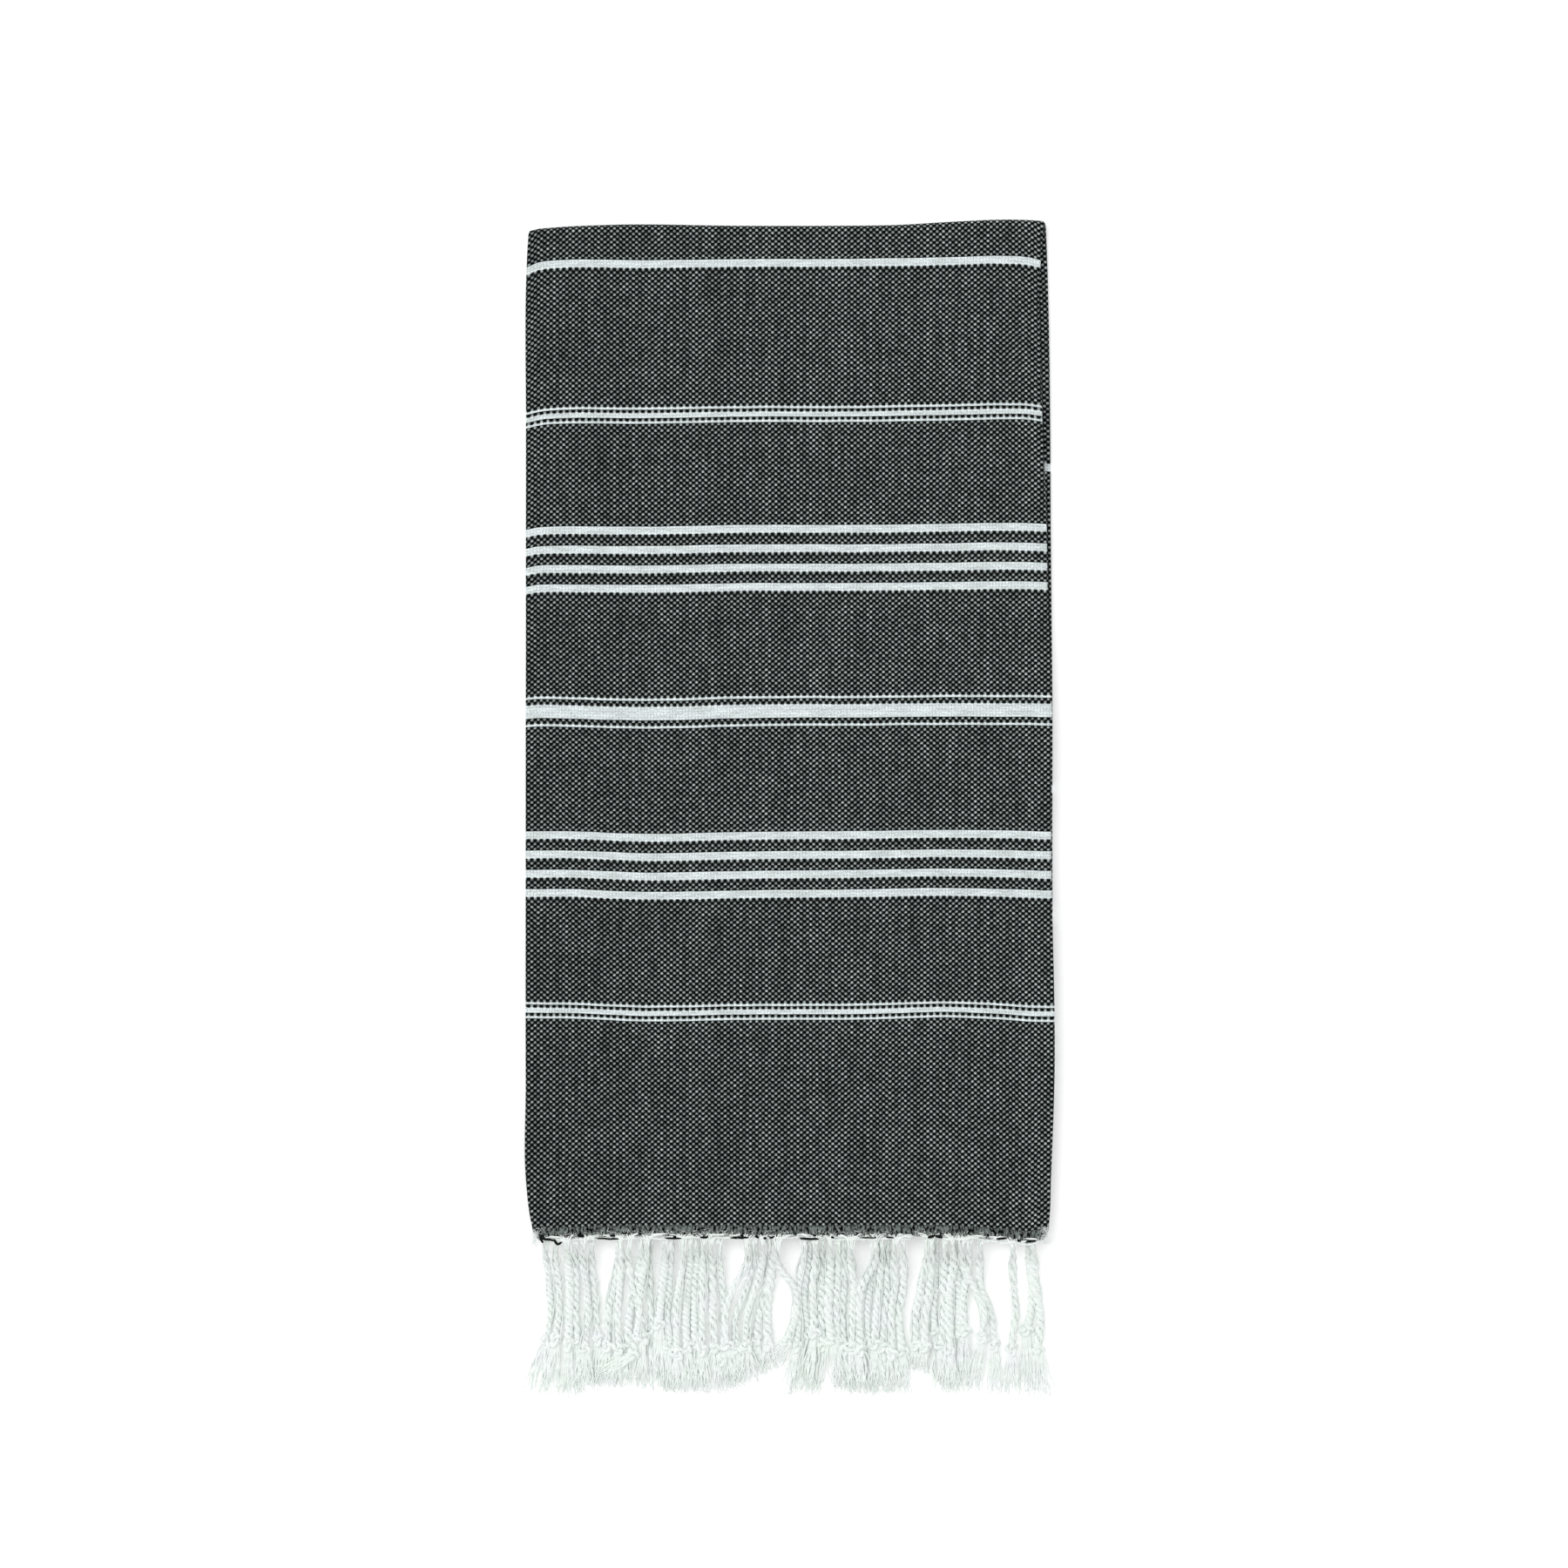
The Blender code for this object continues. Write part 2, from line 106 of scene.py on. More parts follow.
# How far the picks bow upwards, in millimetres, at places across each stripe: woven by hand and
# folded, none of them runs dead straight, and all turn down where they round a side fold.
BOW_ACROSS = (-166.0, -161.0, -155.0, -146.0, -92.0, -26.0, 40.0, 106.0, 134.0, 154.0, 159.0)
BOW_ROWS = (
    (0.0, (-2.9, -2.75, -2.3, -1.6, 0.0, 0.0, 0.0, -0.4, -2.1, -3.2, -2.0)),
    (141.8, (1.35, 1.3, 1.25, 1.25, -0.65, 0.3, 0.45, 1.7, 0.5, -0.8, -0.9)),
    (234.5, (0.4, 0.4, 0.45, 0.5, -1.25, -0.15, 0.35, 1.2, 0.75, 0.1, -0.1)),
    (331.6, (-0.6, 0.0, 0.1, -0.1, -1.35, 0.2, 0.5, 1.05, 1.0, 0.8, 0.6)),
    (428.8, (-3.2, -2.0, -1.5, -1.4, -1.6, -0.5, -0.45, 0.3, 0.7, 0.4, 0.1)),
    (519.8, (-4.1, -2.75, -1.7, -1.2, -1.1, -0.05, 0.0, 1.1, 1.7, 1.05, 0.1)),
    (615.1, (-5.7, -3.1, -1.8, -1.2, -1.1, -0.4, -0.2, 0.9, 1.7, 0.1, -1.4)),
    (642.0, (-5.7, -3.1, -1.8, -1.2, -1.1, -0.4, -0.2, 0.9, 1.7, 0.1, -1.4)),
)

# Soft ridges in the front: x and y where each starts, x and y where it ends, its width and its height.
RIDGE_ROWS = (
    (38.0, 292.0, 88.0, 326.0, 16.0, 0.9),
    (-150.0, 355.0, -96.0, 340.0, 14.0, 0.6),
    (-167.0, 240.0, -150.0, 60.0, 10.0, 0.5),
    (158.0, -90.0, 163.0, -230.0, 9.0, 0.6),
    (-120.0, -110.0, 20.0, -128.0, 30.0, 0.5),
    (60.0, 60.0, 150.0, 42.0, 26.0, 0.6),
    (-60.0, 190.0, -20.0, 90.0, 34.0, 0.5),
    (96.0, -160.0, 140.0, -255.0, 20.0, 0.7),
    (-130.0, -200.0, -90.0, -262.0, 18.0, 0.8),
    (0.0, -215.0, 14.0, -266.0, 15.0, 0.7),
)

# The steps of the grid along each stretch of the cloth, and across each part of its section.
ROWS_ALONG = (("front", 120), ("top_fold", 14), ("back", 56), ("bottom_fold", 12), ("tuck", 26))
COLUMNS_ACROSS = (
    ("left_third", 30), ("left_fold", 10), ("front", 60), ("right_fold", 10), ("right_third", 30),
)


def smooth(at, places, values):
    """The table's value at any place: between two rows, the cubic whose slope at each row is the mean
    slope about it; past the ends, the end's own value."""
    places, values = np.asarray(places, float), np.asarray(values, float)
    slopes = np.gradient(values, places)
    low = np.clip(np.searchsorted(places, at) - 1, 0, len(places) - 2)
    step = places[low + 1] - places[low]
    t = np.clip((at - places[low]) / step, 0.0, 1.0)
    return (
        values[low] * (1 + 2 * t) * (1 - t) ** 2
        + values[low + 1] * t * t * (3 - 2 * t)
        + slopes[low] * step * t * (1 - t) ** 2
        - slopes[low + 1] * step * t * t * (1 - t)
    )


def table(rows, columns, place, name, at):
    """A named column of a table in millimetres, read as metres at any place."""
    rows = np.array(rows)
    return smooth(np.asarray(at) / MM, rows[:, columns.index(place)], rows[:, columns.index(name)]) * MM


def width_at(stretch, above_hem):
    """Left and right edges of the folded towel at each height, as columns of numbers."""
    left, right, back_left, back_right = (
        table(WIDTH_ROWS, WIDTH_COLUMNS, "above_hem", name, above_hem)[:, None]
        for name in WIDTH_COLUMNS[1:]
    )
    if stretch == "front":
        return left, right
    if stretch == "back":
        return back_left, back_right
    return back_left + TUCK_INSET, np.minimum(right, back_right) - TUCK_INSET


def thirds(left, right):
    """The cloth's section across: place, depth behind the front layer, and place on the flat cloth.

    The left third comes in one layer behind the front and the right third two, joined to it by half
    circles. A place on the flat cloth is the place across on the front, and counts on round each
    fold by its arc, so that the warp runs straight up the front whatever its edges do.
    """
    left_radius, right_radius = PITCH / 2, PITCH
    left_turn = left + THICKNESS / 2 + left_radius
    right_turn = right - THICKNESS / 2 - right_radius
    x, depth, flat = [], [], []
    for part, steps in COLUMNS_ACROSS:
        share = np.arange(steps + (part == "right_third"))[None, :] / steps
        angle = math.pi * share
        if part == "left_third":
            start = right - LEFT_THIRD_SHORT
            across = start + (left_turn - start) * share
            behind, place = PITCH, 2 * left_turn - across - math.pi * left_radius
        elif part == "left_fold":
            across = left_turn - left_radius * np.sin(angle)
            behind = left_radius * (1 + np.cos(angle))
            place = left_turn - left_radius * (math.pi - angle)
        elif part == "front":
            across = left_turn + (right_turn - left_turn) * share
            behind, place = 0.0, across
        elif part == "right_fold":
            across = right_turn + right_radius * np.sin(angle)
            behind = right_radius * (1 - np.cos(angle))
            place = right_turn + right_radius * angle
        else:
            end = left + RIGHT_THIRD_SHORT
            across = right_turn + (end - right_turn) * share
            behind, place = 2 * PITCH, 2 * right_turn - across + math.pi * right_radius
        x.append(across)
        depth.append(behind + 0 * across)
        flat.append(place)
    return np.hstack(x), np.hstack(depth), np.hstack(flat)


def ridges(x, y):
    """Soft ridges: each is its height times a bell across it, and fades in and out at its ends."""
    lift = np.zeros(np.broadcast(x, y).shape)
    for row in RIDGE_ROWS:
        x0, y0, x1, y1, width, height = (value * MM for value in row)
        length = math.hypot(x1 - x0, y1 - y0)
        ux, uy = (x1 - x0) / length, (y1 - y0) / length
        on = ((x - x0) * ux + (y - y0) * uy) / length
        off = (x - x0) * uy - (y - y0) * ux
        fade = np.clip(1.25 - np.abs(2 * on - 1) * 0.9, 0.0, 1.0) ** 2
        lift += height * fade * np.exp(-((off / width) ** 2))
    return lift


def bow(across, above_hem):
    """How far the picks bow upwards there: the bow table, smooth both across and along."""
    heights = [row[0] for row in BOW_ROWS]
    bowed = np.zeros(np.broadcast(across, above_hem).shape)
    for number, one in enumerate(np.eye(len(BOW_ACROSS))):
        along = smooth(above_hem / MM, heights, [row[1][number] for row in BOW_ROWS])
        bowed = bowed + smooth(across / MM, BOW_ACROSS, one) * along
    return bowed * MM


def hem_y(x):
    """The cloth's near edge: the hem's line less the table's distance below it."""
    return HEM_Y - table(ENDS_ROWS, ENDS_COLUMNS, "across", "below_hem", x)


def fold_y(x):
    """Where the top fold's half circles start: the top less their radius and the table's distance."""
    start = TOP_Y - TOP_FOLD_RADIUS - THICKNESS / 2
    return start - table(ENDS_ROWS, ENDS_COLUMNS, "across", "below_top", x)


def between(first, last, share):
    """Left and right edges on their way from one pair to another."""
    return [start + (end - start) * share for start, end in zip(first, last)]


def cloth_surface():
    """The cloth's middle surface and its place on the flat cloth, for every row and column.

    The thirds' section is carried up the front, over the top in half circles about the fold line,
    down the back, round the bottom fold and up again between the layers.
    """
    points, flats = [], []
    for stretch, steps in ROWS_ALONG:
        share = (np.arange(steps + (stretch == "tuck")) / steps)[:, None]
        turn = math.pi * share
        eased = share * share * (3 - 2 * share)
        if stretch == "front":
            above = (FRONT_LENGTH - TOP_FOLD_RADIUS) * share[:, 0]
            x, depth, flat_x = thirds(*width_at("front", above))
            low, high = hem_y(x), fold_y(x)
            y = low + (high - low) * share
            height = table(HEIGHT_ROWS, HEIGHT_COLUMNS, "above_hem", "height", above)[:, None]
            # The ridges fade out over the last twenty-fifth of the front, just under the top fold.
            swell = ridges(x, y) * np.clip((1 - share) * 25, 0, 1)
            z = GROUND_Z + height + swell - depth
            flat_y = y - HEM_Y - bow(x, y - HEM_Y)
        elif stretch == "top_fold":
            edges = [width_at(side, np.array([FRONT_LENGTH])) for side in ("front", "back")]
            x, depth, flat_x = thirds(*between(*edges, eased))
            fold = fold_y(x)
            radius = TOP_FOLD_RADIUS - depth
            y = fold + radius * np.sin(turn)
            z = GROUND_Z + TOP_FOLD_RADIUS + radius * np.cos(turn)
            flat_y = fold - HEM_Y + TOP_FOLD_RADIUS * turn - bow(x, FRONT_LENGTH + 0 * x)
        elif stretch == "back":
            x, depth, flat_x = thirds(*width_at("back", FRONT_LENGTH * (1 - share[:, 0])))
            fold = fold_y(x)
            y = fold + (BOTTOM_FOLD_Y - fold) * share
            z = GROUND_Z + depth
            flat_y = fold - HEM_Y + math.pi * TOP_FOLD_RADIUS + (fold - y)
            flat_y = flat_y - bow(x, FRONT_LENGTH + 0 * x) * (1 - share)
        elif stretch == "bottom_fold":
            edges = [width_at(side, np.zeros(1)) for side in ("back", "tuck")]
            x, depth, flat_x = thirds(*between(*edges, eased))
            radius = BOTTOM_FOLD_RADIUS - depth
            y = BOTTOM_FOLD_Y - radius * np.sin(turn)
            z = GROUND_Z + BOTTOM_FOLD_RADIUS - radius * np.cos(turn)
            # The cloth counts on over the back's last step, and then round the fold by its arc.
            last_step = points[-1][-1:, :, 1] - BOTTOM_FOLD_Y
            flat_y = flats[-1][-1:, :, 1] + last_step + turn * BOTTOM_FOLD_RADIUS
        else:
            x, depth, flat_x = thirds(*width_at("tuck", TUCKED_LENGTH * share[:, 0]))
            y = BOTTOM_FOLD_Y + TUCKED_LENGTH * share + 0 * x
            z = GROUND_Z + 2 * BOTTOM_FOLD_RADIUS - depth
            # The bottom fold's last step is a millimetre of cloth.
            flat_y = flats[-1][-1:, :, 1] + (TUCKED_LENGTH * share + 1.0 * MM) + 0 * x
        points.append(np.stack([x, y, z + 0 * x], axis=2))
        flats.append(np.stack([flat_x + 0 * x, flat_y + 0 * x], axis=2))
    return np.concatenate(points), np.concatenate(flats)


def mesh_piece(name, points, flat, round_tube=False):
    """An object from grids of points, (number, rows, columns, 3), with a UV map named yarn.

    flat holds each point's place on the yarn or cloth. On a tube the last column joins the first, so
    flat has one column more than points, and each end is closed by one face.
    """
    number, rows, columns = points.shape[:3]
    index = np.arange(number * rows * columns).reshape(number, rows, columns)
    if round_tube:
        index = np.concatenate([index, index[:, :, :1]], axis=2)
    this, following = slice(0, -1), slice(1, None)
    corners = ((this, this), (this, following), (following, following), (following, this))
    quads = np.stack([index[:, row, column] for row, column in corners], axis=-1).reshape(-1, 4)
    quad_flat = np.stack([flat[:, row, column] for row, column in corners], axis=-2).reshape(-1, 2)
    loops, starts = [quads.ravel()], [np.arange(len(quads)) * 4]
    if round_tube:
        caps = np.concatenate([index[:, 0, -2::-1], index[:, -1, :-1]])
        cap_flat = np.concatenate([flat[:, 0, -2::-1], flat[:, -1, :-1]]).reshape(-1, 2)
        loops.append(caps.ravel())
        starts.append(len(quads) * 4 + np.arange(len(caps)) * columns)
        quad_flat = np.concatenate([quad_flat, cap_flat])
    loops, starts = np.concatenate(loops), np.concatenate(starts)
    mesh = bpy.data.meshes.new(name)
    mesh.vertices.add(number * rows * columns)
    mesh.vertices.foreach_set("co", points.astype(np.float32).ravel())
    mesh.loops.add(len(loops))
    mesh.loops.foreach_set("vertex_index", loops.astype(np.int32))
    mesh.polygons.add(len(starts))
    mesh.polygons.foreach_set("loop_start", starts.astype(np.int32))
    mesh.update(calc_edges=True)
    mesh.uv_layers.new(name="yarn").data.foreach_set("uv", quad_flat.astype(np.float32).ravel())
    mesh.validate()
    mesh.shade_smooth()
    piece = bpy.data.objects.new(name, mesh)
    bpy.context.scene.collection.objects.link(piece)
    return piece


def node(tree, kind, *inputs, **settings):
    """A shader node with its settings made and its inputs, in order, linked or set. None skips one."""
    made = tree.nodes.new("ShaderNode" + kind)
    for name, value in settings.items():
        setattr(made, name, value)
    for socket, value in zip(made.inputs, inputs):
        if isinstance(value, bpy.types.NodeSocket):
            tree.links.new(value, socket)
        elif value is not None:
            socket.default_value = value
    return made


def maths(tree, operation, *inputs):
    """A Math node's value."""
    return node(tree, "Math", *inputs, operation=operation).outputs[0]


def distance(tree, one, other):
    """How far two values are apart."""
    return maths(tree, "ABSOLUTE", maths(tree, "SUBTRACT", one, other))


def product_of(tree, value, *factors):
    """value times every factor in turn."""
    for factor in factors:
        value = maths(tree, "MULTIPLY", value, factor)
    return value


def stretched(tree, place, factors):
    """A place times a factor for each of its three parts."""
    return node(tree, "VectorMath", place, factors, operation="MULTIPLY").outputs[0]


def shaded(tree, colour, brightness):
    """A colour times one brightness."""
    made = node(tree, "VectorMath", colour, operation="SCALE")
    tree.links.new(brightness, made.inputs["Scale"])
    return made.outputs[0]


def noise_of(tree, place, scale, detail=2.0, output="Fac"):
    """A noise texture's value at a place, or another of its outputs."""
    made = node(tree, "TexNoise", place)
    made.inputs["Scale"].default_value = scale
    made.inputs["Detail"].default_value = detail
    return made.outputs[output]


def blend_of(tree, share, first, second):
    """The colour that goes from first to second as share goes from 0 to 1."""
    made = node(tree, "Mix", share, data_type="RGBA")
    for socket, value in ((made.inputs[6], first), (made.inputs[7], second)):
        if isinstance(value, bpy.types.NodeSocket):
            tree.links.new(value, socket)
        else:
            socket.default_value = value
    return made.outputs[2]


def ramp_of(tree, value, low, high, to_low=0.0, to_high=1.0):
    """value carried smoothly from the range low to high onto the range to_low to to_high."""
    return node(
        tree, "MapRange", value, low, high, to_low, to_high, interpolation_type="SMOOTHSTEP"
    ).outputs[0]


def new_material(name, values):
    """A material with these values on its Principled BSDF, its node tree, and that shader."""
    material = bpy.data.materials.new(name)
    material.use_nodes = True
    shader = material.node_tree.nodes["Principled BSDF"]
    for socket_name, value in values.items():
        shader.inputs[socket_name].default_value = value
    return material, material.node_tree, shader


def add_relief(tree, shader, height, strength, depth):
    """A height over the surface, put into the shader's normal."""
    relief = node(tree, "Bump")
    relief.inputs["Strength"].default_value = strength
    relief.inputs["Distance"].default_value = depth
    tree.links.new(height, relief.inputs["Height"])
    tree.links.new(relief.outputs[0], shader.inputs["Normal"])


def new_group(name, inputs, outputs):
    """An empty shader node group with named sockets, and its input node's and output node's sockets."""
    group = bpy.data.node_groups.new(name, "ShaderNodeTree")
    for socket_name, kind, value in inputs:
        made = group.interface.new_socket(socket_name, in_out="INPUT", socket_type=kind)
        if value is not None:
            made.default_value = value
    for socket_name, kind in outputs:
        group.interface.new_socket(socket_name, in_out="OUTPUT", socket_type=kind)
    return group, group.nodes.new("NodeGroupInput").outputs, group.nodes.new("NodeGroupOutput").inputs


# Cotton fibre, shared by cloth and fringe: fine hairs drawn out along the yarn, and soft cloudiness.
cotton_fibre, taken, given = new_group(
    "cotton_fibre",
    (
        ("Yarn", "NodeSocketVector", None),
        ("Hairs across", "NodeSocketFloat", 3.0),
        ("Hairs along", "NodeSocketFloat", 0.5),
        ("Clouds", "NodeSocketFloat", 0.1),
    ),
    (("Hair", "NodeSocketFloat"), ("Cloud", "NodeSocketFloat")),
)
parts = node(cotton_fibre, "SeparateXYZ", taken["Yarn"])
drawn = node(
    cotton_fibre, "CombineXYZ",
    maths(cotton_fibre, "MULTIPLY", parts.outputs[0], taken["Hairs across"]),
    maths(cotton_fibre, "MULTIPLY", parts.outputs[1], taken["Hairs along"]),
    parts.outputs[2],
)
hair = noise_of(cotton_fibre, drawn.outputs[0], 1.0)
cloud = node(cotton_fibre, "TexNoise", taken["Yarn"])
cotton_fibre.links.new(taken["Clouds"], cloud.inputs["Scale"])
cotton_fibre.links.new(hair, given["Hair"])
cotton_fibre.links.new(cloud.outputs[0], given["Cloud"])

# The weave's count, and the white picks among the black ones: first pick and how many. The pattern
# turns round about the middle pick, but for the bands of the second table, woven once each.
ENDS_PER_METRE = 500.0
PICKS_PER_METRE = 571.4
MIDDLE_PICK = 458.5
PICKS = 917.0
MIRRORED_BANDS = (
    (78, 1), (80, 2), (83, 1),
    (122, 3), (129, 3), (136, 3), (143, 3),
    (184, 1), (187, 5), (194, 1),
    (233, 3), (240, 3), (247, 3), (254, 3),
    (294, 1), (296, 2), (299, 1),
)
SINGLE_BANDS = ((350, 3), (457, 3), (573, 3))

# The stripes' rule, from a pick's number: White is 1 on a white pick and 0 on a black one, and Raised
# is 1 on and beside the stripes of three picks.
white_picks, taken, given = new_group(
    "white_picks",
    (("Pick", "NodeSocketFloat", None),),
    (("White", "NodeSocketFloat"), ("Raised", "NodeSocketFloat")),
)
centre = maths(white_picks, "ADD", taken["Pick"], 0.5)
mirrored = maths(white_picks, "SUBTRACT", MIDDLE_PICK, distance(white_picks, centre, MIDDLE_PICK))
white, raised = 0.0, 0.0
for number, bands in ((mirrored, MIRRORED_BANDS), (centre, SINGLE_BANDS)):
    for first, many in bands:
        band = maths(white_picks, "COMPARE", number, first + many / 2, many / 2)
        white = maths(white_picks, "MAXIMUM", white, band)
        if many == 3:
            about = maths(white_picks, "COMPARE", number, first + many / 2, many / 2 + 1.0)
            raised = maths(white_picks, "MAXIMUM", raised, about)
white_picks.links.new(white, given["White"])
white_picks.links.new(raised, given["Raised"])

BLACK_YARN = (0.0014, 0.0024, 0.0021, 1.0)
GREY_DOT = (0.331, 0.372, 0.364)
WHITE_YARN = (0.685, 0.747, 0.752)
FELTED_HEM = (0.052, 0.061, 0.058)

# The weave, in yarns: how far they sway; where on the wave the warp comes over the weft, and how that
# varies; how deep the stripes are scalloped, and how far moved; and where the ends felt and are bare.
YARNS_SWAY = 0.35
WARP_SHOWS = (-0.32, 0.9)
FLOATS_VARY = 0.18
SCALLOP_DEPTH = 0.3
STRIPE_SHIFT = 0.17
FELTED_PICKS = (3.4, 4.4)
BARE_PICKS = (-0.2, 0.5)


def woven_cotton():
    """The cloth's material: a checkerboard of warp over weft, sin(pi ends) x sin(pi picks), whose
    floats take the warp's or the pick's own colour; each yarn and each float varies a little."""
    material, tree, shader = new_material("woven_cotton", {"Roughness": 0.92, "Specular IOR Level": 0.02})
    flat = node(tree, "UVMap", uv_map="yarn").outputs[0]
    counts = stretched(tree, flat, (ENDS_PER_METRE, PICKS_PER_METRE, 1.0))
    sway = noise_of(tree, counts, 0.09, output="Color")
    shift = node(tree, "VectorMath", sway, (-0.5, -0.5, -0.5), operation="ADD").outputs[0]
    swayed = node(
        tree, "VectorMath", shift, (YARNS_SWAY, YARNS_SWAY, 0.0), counts, operation="MULTIPLY_ADD"
    ).outputs[0]
    split = node(tree, "SeparateXYZ", swayed)
    ends, picks = split.outputs[0], split.outputs[1]
    end, pick = maths(tree, "FLOOR", ends), maths(tree, "FLOOR", picks)
    # Every float sits low in its own pick, or high about the stripes of three picks.
    raised = node(tree, "Group", pick, node_tree=white_picks).outputs["Raised"]
    within = maths(tree, "POWER", distance(tree, raised, maths(tree, "FRACT", picks)), 0.6)
    within = distance(tree, raised, within)
    pick_turn = maths(tree, "MULTIPLY", maths(tree, "ADD", pick, within), math.pi)
    # The warp's floats lean, each end's by its own amount and to its own side.
    leaning = noise_of(tree, stretched(tree, counts, (0.7, 0.03, 1.0)), 1.0)
    lean = maths(tree, "MULTIPLY_ADD", leaning, 0.6, -0.28)
    to_side = maths(tree, "SINE", maths(tree, "MULTIPLY", pick_turn, 2.0))
    leant = maths(tree, "MULTIPLY_ADD", to_side, lean, ends)
    end_wave = maths(tree, "SINE", maths(tree, "MULTIPLY", leant, math.pi))
    wave = maths(tree, "MULTIPLY", end_wave, maths(tree, "SINE", pick_turn))
    place = node(tree, "CombineXYZ", end, pick, 0.0).outputs[0]
    by_float = node(tree, "TexWhiteNoise", place, noise_dimensions="2D").outputs[0]
    by_end = node(tree, "TexWhiteNoise", None, end, noise_dimensions="1D").outputs[0]
    by_pick = node(tree, "TexWhiteNoise", None, pick, noise_dimensions="1D").outputs[0]
    uneven = maths(tree, "MULTIPLY", maths(tree, "SUBTRACT", by_float, 0.5), FLOATS_VARY)
    warp_over = ramp_of(tree, maths(tree, "ADD", wave, uneven), *WARP_SHOWS)
    # Black floats swell into the white at one edge of each stripe and scallop it: along the lower edge
    # of the stripes of three picks, and along the upper edge of all others.
    swell = maths(tree, "MULTIPLY", end_wave, maths(tree, "COSINE", pick_turn))
    beside = maths(tree, "ADD", maths(tree, "FLOOR", maths(tree, "SUBTRACT", picks, 0.5)), raised)
    scalloped = node(tree, "Group", beside, node_tree=white_picks).outputs["White"]
    moved = maths(tree, "MULTIPLY_ADD", raised, -2 * STRIPE_SHIFT, STRIPE_SHIFT)
    spread = maths(tree, "MULTIPLY_ADD", swell, -SCALLOP_DEPTH, moved)
    pick_here = maths(tree, "FLOOR", maths(tree, "MULTIPLY_ADD", spread, scalloped, picks))
    white = node(tree, "Group", pick_here, node_tree=white_picks).outputs["White"]
    # Cotton's unevenness along the yarns: fine hairs, soft clouds and slubs.
    fibre = node(tree, "Group", counts, 2.6, 1.7, 0.045, node_tree=cotton_fibre)
    hairs = fibre.outputs["Hair"]
    slub = noise_of(tree, stretched(tree, counts, (1.0, 0.06, 1.0)), 0.8)
    thick_and_thin = noise_of(tree, stretched(tree, counts, (0.12, 0.5, 1.0)), 1.3)
    # Every float is a low hump, and its colour carries painted shade: brighter on its crown, darker
    # towards the gaps between floats. Painted shade also darkens the floats gradually from 80 mm right of
    # the middle out to the left fold.
    hump = maths(tree, "POWER", maths(tree, "ABSOLUTE", wave), 0.6)
    bright = product_of(
        tree,
        maths(tree, "MULTIPLY_ADD", by_float, 0.4, 0.8),
        maths(tree, "MULTIPLY_ADD", by_end, 0.3, 0.85),
        maths(tree, "MULTIPLY_ADD", by_pick, 0.12, 0.94),
        ramp_of(tree, slub, 0.3, 0.75, 0.82, 1.28),
        ramp_of(tree, fibre.outputs["Cloud"], 0.3, 0.7, 0.95, 1.05),
        maths(tree, "MULTIPLY_ADD", hump, 0.9, 0.2),
        # Painted shade: the floats darken towards the left side.
        ramp_of(tree, ends, -84.0, 40.0, 0.88, 1.0),
        ramp_of(tree, hairs, 0.35, 0.65, 0.8, 1.2),
    )
    # The white stripes carry painted shade as well: brighter on each float's crown, darker between floats.
    pale = product_of(
        tree,
        maths(tree, "MULTIPLY_ADD", hump, 0.3, 0.82),
        ramp_of(tree, hairs, 0.32, 0.68, 0.72, 1.2),
        ramp_of(tree, thick_and_thin, 0.32, 0.68, 0.87, 1.1),
    )
    stripe = shaded(tree, WHITE_YARN, pale)
    warp_colour = blend_of(tree, white, shaded(tree, GREY_DOT, bright), stripe)
    weft_colour = blend_of(tree, white, BLACK_YARN, stripe)
    woven = blend_of(tree, warp_over, weft_colour, warp_colour)
    # The last picks before the fringe have felted, and the warp ends show at the very edge.
    row = node(tree, "SeparateXYZ", counts).outputs[1]
    from_edge = maths(tree, "SUBTRACT", PICKS / 2, distance(tree, row, PICKS / 2))
    ragged = noise_of(tree, counts, 0.55, 3.0)
    edge = maths(tree, "ADD", from_edge, maths(tree, "MULTIPLY_ADD", ragged, 2.4, -1.2))
    felt = ramp_of(tree, edge, *FELTED_PICKS, 1.0, 0.0)
    bare = ramp_of(tree, edge, *BARE_PICKS, 0.7, 0.0)
    speck = noise_of(tree, stretched(tree, counts, (1.2, 0.5, 1.0)), 1.1, 3.0)
    felted = shaded(tree, FELTED_HEM, ramp_of(tree, speck, 0.38, 0.62, 0.0, 3.3))
    hemmed = blend_of(tree, felt, woven, felted)
    tree.links.new(blend_of(tree, bare, hemmed, stripe), shader.inputs["Base Color"])
    add_relief(tree, shader, maths(tree, "MULTIPLY_ADD", hairs, 0.35, hump), 0.5, 0.3 * MM)
    return material


cloth_points, cloth_flat = cloth_surface()
cloth = mesh_piece("cloth", cloth_points[None], cloth_flat[None])
cloth.data.materials.append(woven_cotton())
shell = cloth.modifiers.new("thickness", "SOLIDIFY")
shell.thickness = THICKNESS
shell.offset = 0.0
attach(cloth, "root")
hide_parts("towel_cloth")

# The near fringe: the bare warp ends of all three layers, gathered by the dozen, twisted into two-ply
# cords, each knotted once and left to fray. They fall in clumps, lean, cross and open into gaps.

